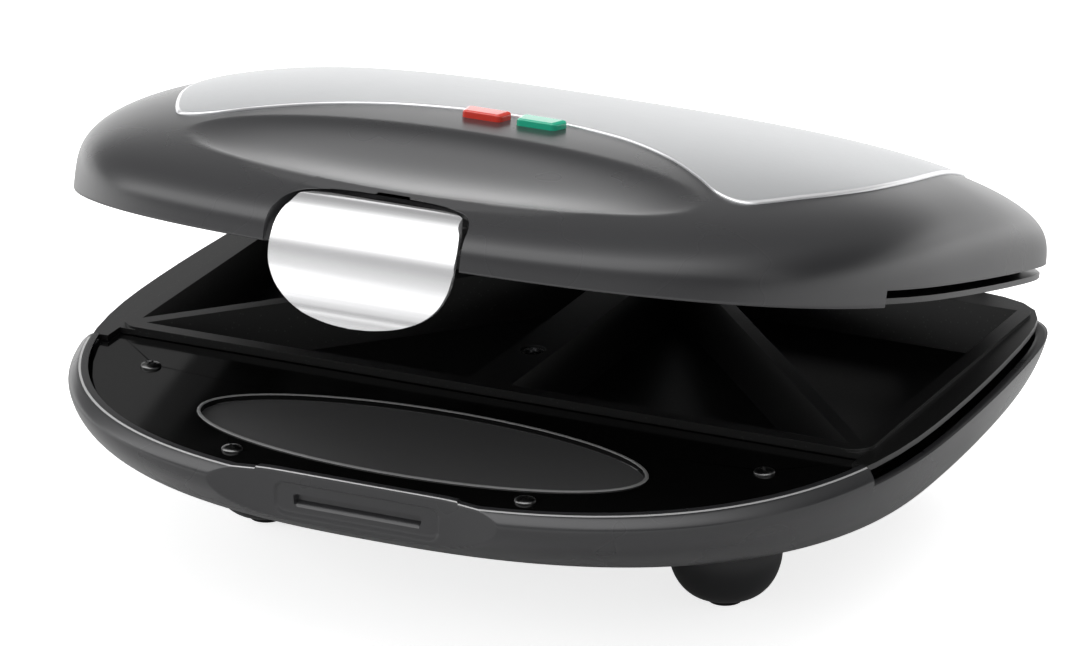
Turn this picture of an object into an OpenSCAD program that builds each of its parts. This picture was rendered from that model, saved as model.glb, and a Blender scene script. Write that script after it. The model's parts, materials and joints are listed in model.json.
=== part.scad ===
// Sandwich toaster: a lower and an upper half, each a shell with a cooking plate,
// joined by a hinge at the back and held shut by a swinging latch at the front.
// Millimetres. +Z is up, +X is to the right seen from the front, and -Y is the front.
// The origin is on the surface it stands on, under the middle of the toaster at rest,
// which is half open. Plan sizes are measured from the plan centre of the two halves.

/* [Outline] */
// Half width of the base at its rim
base_half_w = 114; // [111:0.5:116]
// Distance from the plan centre to the front of the base rim
base_front = 112.8; // [110:0.2:115]
// Squareness of the base's front curve, where 2 is an ellipse
base_front_n = 2.52; // [2.3:0.02:2.8]
// Half width of the lid at its lower edge
lid_half_w = 115; // [113:0.5:116]
// Distance from the plan centre to the front of the lid's lower edge
lid_front = 113.4; // [111:0.2:115]
// Squareness of the lid's front curve
lid_front_n = 2.72; // [2.5:0.02:3]
// Distance from the plan centre to the rear of both halves
rear_depth = 83.2; // [82:0.2:85]
// Squareness of the rear corners
rear_n = 12; // [9:1:14]
// Share of the half width that is lost at the rear edge
rear_taper = 0.05; // [0.03:0.01:0.08]

/* [Base shell] */
// Height of the base rim, from the level that all heights are measured from
rim_z = 49.5; // [48:0.5:51]
// Height of the widest line of the base
belly_z = 46; // [44:0.5:47]
// How far the belly stands out past the rim at the sides
belly_out = 2.6; // [1:0.1:4]
// How far the belly stands out past the rim at the front
belly_front_out = 2.6; // [1:0.1:4]
// Height at which the curve of the underside would close
keel_z = 12; // [11.5:0.5:13]
// Wall thickness of both shells
wall = 2.6; // [2:0.1:3]
// Height of the rim at the sides and back, under the plate's flange
low_rim_z = 45.5; // [45:0.1:46]
// Plan place where the low part of the rim starts
step_y = -44; // [-46:0.5:-42]

/* [Lid shell] */
// Height of the parting plane between the halves when closed
part_z = 50.4; // [50.2:0.1:50.6]
// Crown of the lid above its lower edge
crown_h = 33.6; // [32:0.1:36]
// Crown height at the front edge
crown_front_h = 15.8; // [14:0.1:17]
// Crown height at the rear edge
crown_rear_h = 19.9; // [18:0.1:21]
// Plan place of the highest line
crest_y = 22; // [15:1:28]
// Angle at which the lid stands open at rest
rest_open = 15.4; // [14:0.2:17]
// Half width of the scoop in the lid's crown
scoop_half_w = 70; // [66:1:73]
// Half depth of the scoop from front to back
scoop_half_d = 24; // [22:0.5:25]
// Plan place of the scoop's middle
scoop_y = -71.5; // [-73:0.5:-70]
// Depth of the scoop
scoop_depth = 3.8; // [2:0.1:5]

/* [Decks] */
// Half width of the oval dish in each deck
dish_half_w = 61.3; // [58:0.1:64]
// Half depth of the dish from front to back
dish_half_d = 21.6; // [20:0.1:23]
// Plan place of the dish's middle
dish_y = -73.2; // [-75:0.1:-71]
// Depth of the dish below the deck's top
dish_depth = 1.2; // [0.8:0.1:2.4]

/* [Cooking plates] */
// Half width of the raised ring round the plate
ring_half_w = 106; // [104:0.5:107]
// Front edge of the raised ring
ring_front = -37; // [-38:0.5:-36]
// Rear edge of the raised ring
ring_rear = 75.5; // [74:0.5:77]
// Width of the raised ring
ring_w = 4.2; // [3.5:0.1:5]
// Depth of the sandwich pockets
pocket_depth = 12; // [10:0.5:13]
// Thickness of the plate casting under the pockets
plate_t = 2.3; // [2:0.1:2.5]
// Half width of the bridge between the two pockets
bridge_half_w = 6; // [5.5:0.1:7]
// Half width of the cutting ridge across each pocket
ridge_half_w = 2; // [1.5:0.1:2.5]

/* [Latch] */
// Half width of the latch
latch_half_w = 25.2; // [24:0.1:25.2]
// Plan place of the latch pivot
latch_pivot_y = -104; // [-105:0.1:-103]
// Height of the latch pivot when closed
latch_pivot_z = 58; // [57.8:0.1:58.2]
// Radius of the latch pin
latch_pin_r = 1.5; // [1.4:0.1:1.6]

/* [Hinge] */
// Plan place of the hinge axis
hinge_y = 104; // [103:0.5:106]
// Height of the hinge axis
hinge_z = 54; // [53:0.5:55]
// Radius of the hinge pins
hinge_pin_r = 2.5; // [2.2:0.1:2.8]
// Outer radius of the hinge eyes
hinge_eye_r = 7; // [6:0.5:7]
// Middle of each hinge from the centre line
hinge_x = 66; // [60:1:70]
// Radial clearance of the running fits
run_fit = 0.06; // [0.03:0.01:0.08]

/* [Feet] */
// Half distance between the feet
foot_x = 65.5; // [64:0.5:67]
// Plan place of the front feet
front_foot_y = -32; // [-34:0.5:-30]
// Plan place of the rear feet
rear_foot_y = 64; // [60:0.5:66]
// Radius of the dome of the front feet
front_foot_r = 14.6; // [13:0.1:15]
// Radius of the dome of the rear feet
rear_foot_r = 10; // [9:0.5:11]
// Radius of the rubber pads
pad_r = 4.5; // [4.2:0.1:5.2]
// Thickness of the rubber pads
pad_h = 1.6; // [1.4:0.1:2]
// Height of the pads' lower faces, which is the level that the toaster stands on
stand_z = 1.3; // [1:0.1:1.6]

/* [Hidden] */

$fn = 48;
// A little more than nothing, so that cuts run past the faces they cut
eps = 0.01;
// Shift from the plan centre to the middle of the toaster at rest
plan_shift_y = 1.54;

// Colours as the photograph shows them
shell_grey = [0.22, 0.22, 0.23];
deck_black = [0.05, 0.05, 0.05];
plate_black = [0.09, 0.09, 0.09];
silver = [0.78, 0.79, 0.80];
chrome = [0.90, 0.90, 0.92];
steel = [0.62, 0.62, 0.64];

// Levels that follow from the heights above
low_flange = [47.9, 49.4];
ring_top_z = 50.2;
deck_top_z = 47.8;
deck_t = 2;
lid_edge_z = 2 * part_z - rim_z - 0.4;
lid_low_edge_z = 2 * part_z - low_rim_z;
pocket_floor_z = low_flange[1] - pocket_depth;
plate_low_z = pocket_floor_z - plate_t;

// Outline

// Angles round the plan: 5 degree steps in front, closer at the rear corners
rear_half = concat([for (a = [0:6:24]) a], [for (a = [27:2.5:47]) a], [for (a = [52:8:84]) a]);
rear_other_half = [for (i = [len(rear_half) - 1:-1:1]) 180 - rear_half[i]];
plan_angles = concat([for (a = [-180:5:-5]) a], rear_half, [90], rear_other_half);

// One point of a rounded outline with its own front and rear squareness
function outline_point(a, w, front, rear, front_n) =
    let (
        depth = a < 0 ? front : rear,
        n = a < 0 ? front_n : rear_n,
        r = pow(pow(abs(cos(a)) / w, n) + pow(abs(sin(a)) / depth, n), -1 / n),
        y = r * sin(a),
        narrow = y > 0 ? 1 - rear_taper * pow(y / rear, 2) : 1
    )
    [r * cos(a) * narrow, y];

// Outline of the base rim, drawn in by inset
function base_outline(inset) =
    [for (a = plan_angles)
        outline_point(a, base_half_w - inset, base_front - inset, rear_depth - inset, base_front_n)];

// Outline of the lid's lower edge, drawn in by inset
function lid_outline(inset) =
    [for (a = plan_angles)
        outline_point(a, lid_half_w - inset, lid_front - inset, rear_depth - inset, lid_front_n)];

// A closed solid through rings that all have the same number of points,
// with a fan to the middle of the first and the last ring
module loft(rings) {
    n = len(rings[0]);
    last = len(rings) - 1;
    side = [for (i = [0:last - 1], j = [0:n - 1])
        let (a = i * n + j, b = i * n + (j + 1) % n)
        each [[a, b, a + n], [b, b + n, a + n]]];
    first_fan = [for (j = [1:n - 2]) [0, j + 1, j]];
    last_fan = [for (j = [1:n - 2]) [last * n, last * n + j, last * n + j + 1]];
    polyhedron(points = [for (r = rings) each r], faces = concat(first_fan, side, last_fan));
}

// Base shell

// Plan place that the base's rings shrink towards
base_mid_y = 63;
// Steps down the base's side, as a share of the way from the belly to the keel
base_steps = [0, 0.08, 0.18, 0.3, 0.42, 0.54, 0.66, 0.77, 0.86, 0.93];
// Steps from the rim down to the belly
rim_steps = [0, 0.3, 0.65];

function side_scale(t) = (1 + belly_out / base_half_w) * pow(1 - pow(t, 1.25), 1 / 7.5);
belly_end = belly_front_out / (base_front + base_mid_y);
function end_scale(t) = (1 + belly_end) * pow(1 - pow(t, 1.95), 1 / 2.45);

// One ring of the base, with its own scales, height and inset
function base_ring(sx, sy, z, inset) =
    [for (p = base_outline(inset)) [p[0] * sx, (p[1] - base_mid_y) * sy + base_mid_y, z]];

// The base as a solid, drawn in by inset, with its floor raised as much
module base_solid(inset, top_z) {
    rim = [for (u = rim_steps)
        let (bulge = sin(90 * u))
        base_ring(
            1 + bulge * belly_out / base_half_w, 1 + bulge * belly_end,
            top_z + (belly_z - top_z) * u, inset)];
    side = [for (t = base_steps)
        base_ring(side_scale(t), end_scale(t), belly_z - t * (belly_z - keel_z) + t * inset, inset)];
    loft(concat(rim, side));
}

// Outer floor height of the shell, where it is flat
floor_z = belly_z - 0.93 * (belly_z - keel_z);
floor_in_z = floor_z + 0.93 * wall;

// Catch at the front of the base: a flat face with a sunk panel and a slot for the hook
catch_half_w = 28;
catch_face_y = -109.2;
catch_back_y = -106.4;
catch_lip_z = 50;
catch_panel_half_w = 22.6;
catch_panel_z = [38.6, 46.8];
catch_panel_r = 2.5;
catch_panel_in = 0.5;
catch_slot_half_w = 17.5;
catch_slot_z = [41.3, 43.8];

// Places of the four deck screws and the two plate screws, and the posts that take them
deck_screw_at = [[-86.3, -55], [-40.7, -97.4], [40.7, -97.4], [86.3, -55]];
deck_post_r = 3.6;
deck_screw_h = 8;
deck_hole_h = deck_screw_h + 0.5;
plate_post_r = 3.4;
plate_screw_y = [-8, 58];
screw_r = 1.5;
screw_hole_r = 1.6;

// A block across the front of the base, between two plan places and two heights
module front_block(half_w, y0, y1, z0, z1) {
    translate([-half_w, y0, z0])
        cube([2 * half_w, y1 - y0, z1 - z0]);
}

// The catch's panel as a rounded plate, sunk into the flat face
module catch_panel() {
    w = catch_panel_half_w - catch_panel_r;
    translate([0, catch_face_y + catch_panel_in, 0])
        rotate([90, 0, 0])
            linear_extrude(10)
                offset(r = catch_panel_r)
                    translate([-w, catch_panel_z[0] + catch_panel_r])
                        square([2 * w, catch_panel_z[1] - catch_panel_z[0] - 2 * catch_panel_r]);
}

module base_shell() {
    color(shell_grey)
    difference() {
        union() {
            difference() {
                base_solid(0, rim_z);
                base_solid(wall, rim_z + eps);
                // Low rim under the plate's flange
                translate([-130, step_y, low_rim_z])
                    cube([260, 160, 10]);
            }
            // Flat wall of the catch, a little higher than the rim
            intersection() {
                base_solid(0, catch_lip_z);
                front_block(catch_half_w, catch_face_y, catch_back_y, 34, 60);
            }
            // Posts for the deck screws and the plate screws
            intersection() {
                base_solid(1, rim_z);
                union() {
                    for (p = deck_screw_at)
                        translate([p[0], p[1], floor_z])
                            cylinder(r = deck_post_r, h = deck_top_z - deck_t - floor_z);
                    for (y = plate_screw_y)
                        translate([0, y, floor_z])
                            cylinder(r = plate_post_r, h = low_flange[0] - floor_z);
                }
            }
        }
        // Flat face of the catch, its panel and its slot
        front_block(catch_half_w, -125, catch_face_y, 30, 60);
        catch_panel();
        front_block(catch_slot_half_w, -125, -100, catch_slot_z[0], catch_slot_z[1]);
        for (p = deck_screw_at)
            translate([p[0], p[1], deck_top_z - deck_hole_h])
                cylinder(r = screw_hole_r, h = 20);
        for (y = plate_screw_y)
            translate([0, y, ring_top_z - 14])
                cylinder(r = screw_hole_r, h = 20);
        // Inlet hole, hinge lead hole and hinge screw holes in the rear wall
        translate([0, rear_depth - 15, gland_z])
            rotate([-90, 0, 0])
                cylinder(r = gland_neck_r + 0.05, h = 30);
        translate([hinge_lead_x, rear_depth - 15, hinge_lead_exit_z])
            rotate([-90, 0, 0])
                cylinder(r = lead_sleeve_r + 0.2, h = 30);
        for (s = [-1, 1], x = hinge_screw_x)
            translate([s * x, rear_depth - 15, hinge_screw_z])
                rotate([-90, 0, 0])
                    cylinder(r = screw_hole_r, h = 30);
    }
}

// Deck: the gloss panel in front of the cooking plate

module deck_outline() {
    difference() {
        intersection() {
            polygon(base_outline(wall + 0.3));
            union() {
                translate([-130, -130])
                    square([260, 130 + step_y - 0.3]);
                translate([-ring_half_w + 1.5, -60])
                    square([2 * ring_half_w - 3, 60 + ring_front - 0.7]);
            }
        }
        // Room for the flat wall of the catch
        translate([-catch_half_w - 0.6, -130])
            square([2 * catch_half_w + 1.2, 130 + catch_back_y + 0.3]);
    }
}

// Outline of the dish, grown by more
module dish(more) {
    polygon([for (a = [0:6:354])
        [(dish_half_w + more) * cos(a), dish_y + (dish_half_d + more) * sin(a)]]);
}

module deck() {
    difference() {
        union() {
            translate([0, 0, deck_top_z - deck_t])
                linear_extrude(deck_t)
                    deck_outline();
            translate([0, 0, deck_top_z - deck_t - dish_depth])
                linear_extrude(deck_t)
                    dish(1.2);
            // Thin raised rim round the dish
            translate([0, 0, deck_top_z - eps])
                linear_extrude(0.4)
                    dish(0.9);
        }
        translate([0, 0, deck_top_z - dish_depth])
            linear_extrude(10)
                dish(0);
        for (p = deck_screw_at)
            translate([p[0], p[1], 0])
                cylinder(r = screw_hole_r, h = 100);
    }
}

module base_deck() {
    color(deck_black)
        deck();
}

// A screw with a low round head that points up, its head's seat at z = 0
module screw(r, head_r, head_h, length) {
    difference() {
        union() {
            translate([0, 0, -length])
                cylinder(r = r, h = length + eps);
            rotate_extrude()
                polygon([[0, 0], [head_r, 0], [head_r, head_h * 0.35], [head_r * 0.6, head_h * 0.9],
                    [0, head_h]]);
        }
        for (a = [0, 90])
            rotate([0, 0, a])
                translate([-head_r * 0.55, -0.35, head_h * 0.45])
                    cube([head_r * 1.1, 0.7, head_h]);
    }
}

module deck_screw_set() {
    for (p = deck_screw_at)
        translate([p[0], p[1], deck_top_z])
            screw(screw_r, 3, 1.4, deck_screw_h);
}

module deck_screws() {
    color(steel)
        deck_screw_set();
}

// Cooking plate, drawn for the lower half and mirrored for the upper one

// Corners of one half of the right pocket, drawn in by d from its walls.
// The first half is in front of the cutting ridge and the second is behind it.
pocket_x = [bridge_half_w, ring_half_w - ring_w];
pocket_y = [ring_front + ring_w, ring_rear - ring_w];
pocket_diag = norm([pocket_x[1] - pocket_x[0], pocket_y[1] - pocket_y[0]]);

// How far a corner cut by the ridge moves along X and Y
function ridge_shift_x(d) = d * pocket_diag / (pocket_y[1] - pocket_y[0]);
function ridge_shift_y(d) = d * pocket_diag / (pocket_x[1] - pocket_x[0]);

// The triangle in front of the ridge: it has the front wall and the bridge wall
function front_triangle(d, ridge) =
    let (
        x0 = pocket_x[0] + d,
        y0 = pocket_y[0] + d,
        far = ridge + d,
        slope = (pocket_y[1] - pocket_y[0]) / (pocket_x[1] - pocket_x[0]),
        // The ridge runs from the front outer corner to the rear inner one
        line_c = pocket_y[1] + slope * pocket_x[0] - ridge_shift_y(far)
    )
    [[x0, y0], [(line_c - y0) / slope, y0], [x0, line_c - slope * x0]];

// The triangle behind the ridge: it has the outer wall and the rear wall
function rear_triangle(d, ridge) =
    let (
        x1 = pocket_x[1] - d,
        y1 = pocket_y[1] - d,
        far = ridge + d,
        slope = (pocket_y[1] - pocket_y[0]) / (pocket_x[1] - pocket_x[0]),
        line_c = pocket_y[1] + slope * pocket_x[0] + ridge_shift_y(far)
    )
    [[x1, y1], [(line_c - y1) / slope, y1], [x1, line_c - slope * x1]];

// A solid between a triangle at low_z and a larger one at high_z
module wedge(low, high, low_z, high_z) {
    turn = cross(low[1] - low[0], low[2] - low[0]) > 0;
    a = turn ? low : [low[0], low[2], low[1]];
    b = turn ? high : [high[0], high[2], high[1]];
    polyhedron(
        points = concat([for (p = a) [p[0], p[1], low_z]], [for (p = b) [p[0], p[1], high_z]]),
        faces = [[0, 1, 2], [5, 4, 3], [0, 3, 4, 1], [1, 4, 5, 2], [2, 5, 3, 0]]);
}

// Draft of the pocket walls over their depth, and the casting's wall round a pocket's floor
draft = 3.5;
casting_wall = 1.4;

// Corners of the casting's body round the right pocket, drawn in by d
function pocket_ring(d, z) = [
    [pocket_x[0] + d, pocket_y[0] + d, z], [pocket_x[1] - d, pocket_y[0] + d, z],
    [pocket_x[1] - d, pocket_y[1] - d, z], [pocket_x[0] + d, pocket_y[1] - d, z]];

module pocket_spaces() {
    for (s = [0, 1])
        mirror([s, 0, 0]) {
            wedge(front_triangle(draft, ridge_half_w), front_triangle(-0.4, ridge_half_w),
                pocket_floor_z, ring_top_z + 1);
            wedge(rear_triangle(draft, ridge_half_w), rear_triangle(-0.4, ridge_half_w),
                pocket_floor_z, ring_top_z + 1);
        }
}

module ring_outline(inset, corner) {
    w = ring_half_w - inset - corner;
    y0 = ring_front + inset + corner;
    y1 = ring_rear - inset - corner;
    union() {
        translate([-w - corner, y0])
            square([2 * (w + corner), y1 - y0]);
        translate([-w, y0 - corner])
            square([2 * w, y1 - y0 + 2 * corner]);
        for (x = [-w, w], y = [y0, y1])
            translate([x, y])
                circle(r = corner);
    }
}

module plate() {
    difference() {
        union() {
            // Flange that rests over the shell's rim
            translate([0, 0, low_flange[0]])
                linear_extrude(low_flange[1] - low_flange[0])
                    difference() {
                        polygon(base_outline(0.4));
                        translate([-130, -130])
                            square([260, 130 + step_y + 0.4]);
                        translate([-ring_half_w + 1, -60])
                            square([2 * ring_half_w - 2, 60 + ring_front]);
                    }
            // Raised ring
            translate([0, 0, low_flange[0]])
                linear_extrude(ring_top_z - low_flange[0])
                    ring_outline(0, 6);
            // Body of the casting round the pockets
            for (s = [0, 1])
                mirror([s, 0, 0])
                    loft([
                        pocket_ring(-0.7, low_flange[0] + eps),
                        pocket_ring(draft - casting_wall, pocket_floor_z),
                        pocket_ring(draft - casting_wall + 0.5, plate_low_z)]);
        }
        pocket_spaces();
        for (y = plate_screw_y)
            translate([0, y, 0]) {
                cylinder(r = screw_hole_r, h = 100);
                translate([0, 0, low_flange[1]])
                    cylinder(r = 3.4, h = 10);
            }
    }
}

module lower_plate() {
    color(plate_black)
        plate();
}

module plate_screw_set() {
    for (y = plate_screw_y)
        translate([0, y, low_flange[1]])
            screw(screw_r, 3, 0.7, 12);
}

module lower_plate_screws() {
    color(steel)
        plate_screw_set();
}

// Heating element, clamps and reflector, drawn for the lower half

heater_r = 3.2;
heater_z = plate_low_z - heater_r - 0.1;
heater_half_w = 58;
heater_y = [8, 48];
heater_bend = 12;
heater_end_x = 12;
heater_end_y = 63;

module rod(a, b, r) {
    d = b - a;
    translate(a)
        rotate([0, acos(d[2] / norm(d)), atan2(d[1], d[0])])
            cylinder(r = r, h = norm(d));
}

// Quarter of a ring in the plane of the plate
module bend(mid, from, r) {
    translate(mid)
        rotate([0, 0, from])
            rotate_extrude(angle = 90)
                translate([heater_bend, 0])
                    circle(r = r);
}

module heater() {
    z = heater_z;
    x = heater_half_w;
    xi = x - heater_bend;
    yf = heater_y[0];
    yr = heater_y[1];
    rod([-xi, yf, z], [xi, yf, z], heater_r);
    for (s = [-1, 1]) {
        rod([s * x, yf + heater_bend, z], [s * x, yr - heater_bend, z], heater_r);
        rod([s * (heater_end_x + heater_bend), yr, z], [s * xi, yr, z], heater_r);
        rod([s * heater_end_x, yr + heater_bend, z], [s * heater_end_x, heater_end_y, z], heater_r);
        rod([s * heater_end_x, heater_end_y - eps, z], [s * heater_end_x, heater_end_y + 4, z], 1.2);
    }
    bend([xi, yf + heater_bend, z], -90, heater_r);
    bend([-xi, yf + heater_bend, z], 180, heater_r);
    bend([xi, yr - heater_bend, z], 0, heater_r);
    bend([-xi, yr - heater_bend, z], 90, heater_r);
    bend([heater_end_x + heater_bend, yr + heater_bend, z], 180, heater_r);
    bend([-heater_end_x - heater_bend, yr + heater_bend, z], -90, heater_r);
}

module lower_heater() {
    color(steel)
        heater();
}

module heater_clamps() {
    for (x = [-30, 30])
        translate([x, heater_y[0], 0])
            difference() {
                translate([-4, -8, heater_z - heater_r - 1])
                    cube([8, 16, plate_low_z - heater_z + heater_r + 1]);
                translate([-5, 0, heater_z])
                    rotate([0, 90, 0])
                        cylinder(r = heater_r + 0.02, h = 10);
                translate([-5, -heater_r + 0.8, heater_z])
                    cube([10, 2 * heater_r - 1.6, 10]);
            }
}

module lower_heater_clamps() {
    color(steel)
        heater_clamps();
}

reflector_half_w = 64;
reflector_y = [-3, 53];
reflector_z = heater_z - heater_r - 3.6;
sheet_t = 0.8;
// Height of the reflector's feet in the upper half
upper_leg = 1.7;

module reflector(leg) {
    difference() {
        translate([-reflector_half_w, reflector_y[0], reflector_z - sheet_t])
            cube([2 * reflector_half_w, reflector_y[1] - reflector_y[0], sheet_t + 3]);
        translate([-reflector_half_w + sheet_t, reflector_y[0] + sheet_t, reflector_z])
            cube([2 * (reflector_half_w - sheet_t), reflector_y[1] - reflector_y[0] - 2 * sheet_t, 10]);
    }
    for (x = [-50, 50], y = [5, 45])
        translate([x, y, reflector_z - sheet_t - leg])
            cylinder(r = 2, h = leg + eps);
}

module lower_reflector() {
    color(silver)
        reflector(reflector_z - sheet_t - floor_in_z);
}

// Thermostat on the underside of the lower plate
thermostat_at = [28, 28];

module thermostat() {
    color([0.75, 0.73, 0.68]) {
        translate([thermostat_at[0], thermostat_at[1], plate_low_z - 7])
            cylinder(r = 8, h = 7);
        for (s = [-1, 1])
            translate([thermostat_at[0] + s * 9 - 4, thermostat_at[1] - 3, plate_low_z - 7 - eps])
                cube([8, 6, 0.8]);
    }
}

fuse_x = -28;
fuse_r = 2.1;

module thermal_fuse() {
    z = plate_low_z - fuse_r - 0.6;
    y = thermostat_at[1];
    rod([fuse_x - 7, y, z], [fuse_x + 7, y, z], fuse_r);
    rod([fuse_x - 12, y, z], [fuse_x + 12, y, z], 0.6);
    // Strap that holds the fuse to the plate
    difference() {
        translate([fuse_x - 3, y - 6, z - fuse_r - 0.6])
            cube([6, 12, 2 * fuse_r + 1.2]);
        translate([fuse_x - 4, y, z])
            rotate([0, 90, 0])
                cylinder(r = fuse_r - eps, h = 8);
    }
}

module lower_thermal_fuse() {
    color([0.86, 0.86, 0.82])
        thermal_fuse();
}

// Terminal block on the floor of the base
block = [[-36, 58, floor_in_z], [-16, 68, floor_in_z + 9]];

module terminal_block() {
    color([0.92, 0.91, 0.87]) {
        translate(block[0])
            cube(block[1] - block[0]);
        for (i = [0:2])
            translate([block[0][0] + 3.5 + i * 6.5, 63, block[1][2] - eps])
                cylinder(r = 1.8, h = 1);
    }
}

// Inlet gland in the rear wall
gland_z = 36;
gland_neck_r = 5.4;
gland_bore_r = 3.6;
gland_in_y = 75.9;
gland_out_y = 86.3;
gland_collar_r = 6.4;
gland_collar_t = 2.6;

module cord_gland() {
    color(deck_black)
        translate([0, 0, gland_z])
            rotate([-90, 0, 0])
                difference() {
                    union() {
                        translate([0, 0, gland_in_y])
                            cylinder(r = gland_collar_r, h = gland_collar_t);
                        translate([0, 0, gland_in_y])
                            cylinder(r = gland_neck_r, h = gland_out_y - gland_in_y);
                        translate([0, 0, gland_out_y - gland_collar_t])
                            cylinder(r = gland_collar_r, h = gland_collar_t);
                    }
                    translate([0, 0, gland_in_y - 1])
                        cylinder(r = gland_bore_r, h = 20);
                }
}

// A wire through points: a tube with a ring on each point, square to the way it runs
wire_sides = 10;

function unit(v) = v / norm(v);
function way(points, i) =
    unit(points[min(i + 1, len(points) - 1)] - points[max(i - 1, 0)]);

// Carries a ring's side direction along the wire, so that the tube doesn't twist
function side_ways(points, i, last) =
    i == len(points)
        ? []
        : let (
            t = way(points, i),
            m = unit(last - (last * t) * t)
        )
        concat([m], side_ways(points, i + 1, m));

// Points with each corner cut into two, r_bend away from it
function eased(points, r_bend) =
    [for (i = [0:len(points) - 1])
        each i == 0 || i == len(points) - 1
            ? [points[i]]
            : let (
                back = unit(points[i - 1] - points[i]),
                on = unit(points[i + 1] - points[i]),
                cut = r_bend / (1 + eps)
            )
            [points[i] + cut * back, points[i] + 0.25 * cut * (back + on), points[i] + cut * on]];

module wire(corners, r) {
    points = eased(corners, 1.5 * r);
    first = unit(points[1] - points[0]);
    start = abs(first[2]) < 0.9 ? [0, 0, 1] : [1, 0, 0];
    sides = side_ways(points, 0, start);
    loft([for (i = [0:len(points) - 1])
        let (
            m = sides[i],
            k = cross(way(points, i), m)
        )
        [for (j = [0:wire_sides - 1])
            points[i] + r * (cos(360 * j / wire_sides) * m - sin(360 * j / wire_sides) * k)]]);
}

lead_r = 1.1;
fuse_z = plate_low_z - fuse_r - 0.6;

// Wires pass into the element's loop beside the rear post
loop_gate_x = 6.3;

module base_leads() {
    y_mid = thermostat_at[1];
    blade_z = plate_low_z - 6.6;
    pin_end_y = heater_end_y + 4.3;
    color([0.85, 0.85, 0.82]) {
        // Terminal block to thermostat
        wire([[block[1][0] + 0.4, 66, 22], [loop_gate_x, 66, 22], [loop_gate_x, 66, heater_z],
            [loop_gate_x, 38, heater_z], [thermostat_at[0] - 14, y_mid, blade_z]], lead_r);
        // Terminal block to the right end of the element
        wire([[block[1][0] + 1, 63, 24.4], [-9, 73, 24.4], [heater_end_x, 74, 24.8],
            [heater_end_x, 74, heater_z], [heater_end_x, pin_end_y, heater_z]], lead_r);
        // Left end of the element to the fuse
        wire([[-heater_end_x, pin_end_y, heater_z], [-heater_end_x, 71.8, heater_z],
            [-loop_gate_x, 71.8, heater_z], [-loop_gate_x, 38, heater_z],
            [fuse_x + 12.6, y_mid, fuse_z]], lead_r);
        // Fuse to thermostat
        wire([[fuse_x - 12.3, y_mid, fuse_z], [-46, y_mid, fuse_z], [-46, 17.9, heater_z],
            [47, 17.9, heater_z], [47, y_mid, blade_z], [thermostat_at[0] + 13.3, y_mid, blade_z]], lead_r);
    }
}

// Feet and pads

// Dome of a foot from its pad up to its widest line
module foot(x, y, r, top_z) {
    seat_z = stand_z + pad_h;
    low_r = pad_r + 0.4;
    color([0.13, 0.13, 0.13])
        difference() {
            translate([x, y, 0])
                rotate_extrude()
                    polygon(concat([[0, seat_z]],
                        [for (a = [0:10:90])
                            [low_r + (r - low_r) * sin(a), seat_z + 13 * (1 - cos(a))]],
                        [[r, top_z], [0, top_z]]));
            loft([for (t = [0, 0.54, 0.66, 0.77, 0.86, 0.93])
                base_ring(side_scale(t), end_scale(t), belly_z - t * (belly_z - keel_z) - 0.05, 0)]);
        }
}

module pad(x, y) {
    color([0.03, 0.03, 0.03])
        translate([x, y, stand_z])
            cylinder(r = pad_r, h = pad_h);
}

// Hinge

hinge_screw_x = [56.2, 75.8];
hinge_screw_z = 41.5;
hinge_pad_y = [83.9, 88];
hinge_pad_z = [37, 46.5];
ear_t = 8.7;
arm_half_t = 5;
ear_gap = 0.3;
arm_pad_z = [56.2, 65.5];

// Side view of a hinge ear: a pad on the rear wall that runs out to an eye
module ear_profile() {
    polygon([
        [hinge_pad_y[0], hinge_pad_z[0]], [hinge_pad_y[1], hinge_pad_z[0]],
        [hinge_y + 2.2, hinge_z - hinge_eye_r + 0.35], [hinge_y - 4.6, hinge_z + 5.2],
        [hinge_pad_y[1], hinge_pad_z[1] + 1.5], [hinge_pad_y[0], hinge_pad_z[1]]]);
    translate([hinge_y, hinge_z])
        circle(r = hinge_eye_r);
}

// Extrudes a side view drawn as (Y, Z) from x0 to x1
module side_extrude(x0, x1) {
    translate([x0, 0, 0])
        rotate([90, 0, 90])
            linear_extrude(x1 - x0)
                children();
}

module hinge_bracket(s) {
    x0 = s * hinge_x - arm_half_t - ear_gap - ear_t;
    x1 = s * hinge_x + arm_half_t + ear_gap;
    color(shell_grey)
        difference() {
            union() {
                side_extrude(x0, x0 + ear_t)
                    ear_profile();
                side_extrude(x1, x1 + ear_t)
                    ear_profile();
                // Web that joins the two ears on the wall
                translate([x0, hinge_pad_y[0], hinge_pad_z[0]])
                    cube([x1 + ear_t - x0, hinge_pad_y[1] - hinge_pad_y[0] - 1,
                        hinge_pad_z[1] - hinge_pad_z[0] - 1.2]);
            }
            translate([x0 - 1, hinge_y, hinge_z])
                rotate([0, 90, 0])
                    cylinder(r = hinge_pin_r, h = 40);
            for (x = hinge_screw_x)
                translate([s * x, 70, hinge_screw_z])
                    rotate([-90, 0, 0])
                        cylinder(r = screw_hole_r, h = 20);
            for (x = hinge_screw_x)
                translate([s * x, hinge_pad_y[1] - 1, hinge_screw_z])
                    rotate([-90, 0, 0])
                        cylinder(r = 3.2, h = 30);
        }
}

module hinge_bracket_screws() {
    color(steel)
        for (s = [-1, 1], x = hinge_screw_x)
            translate([s * x, hinge_pad_y[1] - 1, hinge_screw_z])
                rotate([-90, 0, 0])
                    screw(screw_r, 2.8, 1.6, 10);
}

module hinge_pin(s) {
    half = arm_half_t + ear_gap + ear_t + 0.6;
    color(steel)
        translate([s * hinge_x - half, hinge_y, hinge_z])
            rotate([0, 90, 0]) {
                cylinder(r = hinge_pin_r, h = 2 * half);
                translate([0, 0, s > 0 ? 2 * half - eps : -1])
                    cylinder(r = hinge_pin_r + 1.2, h = 1);
            }
}

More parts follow.
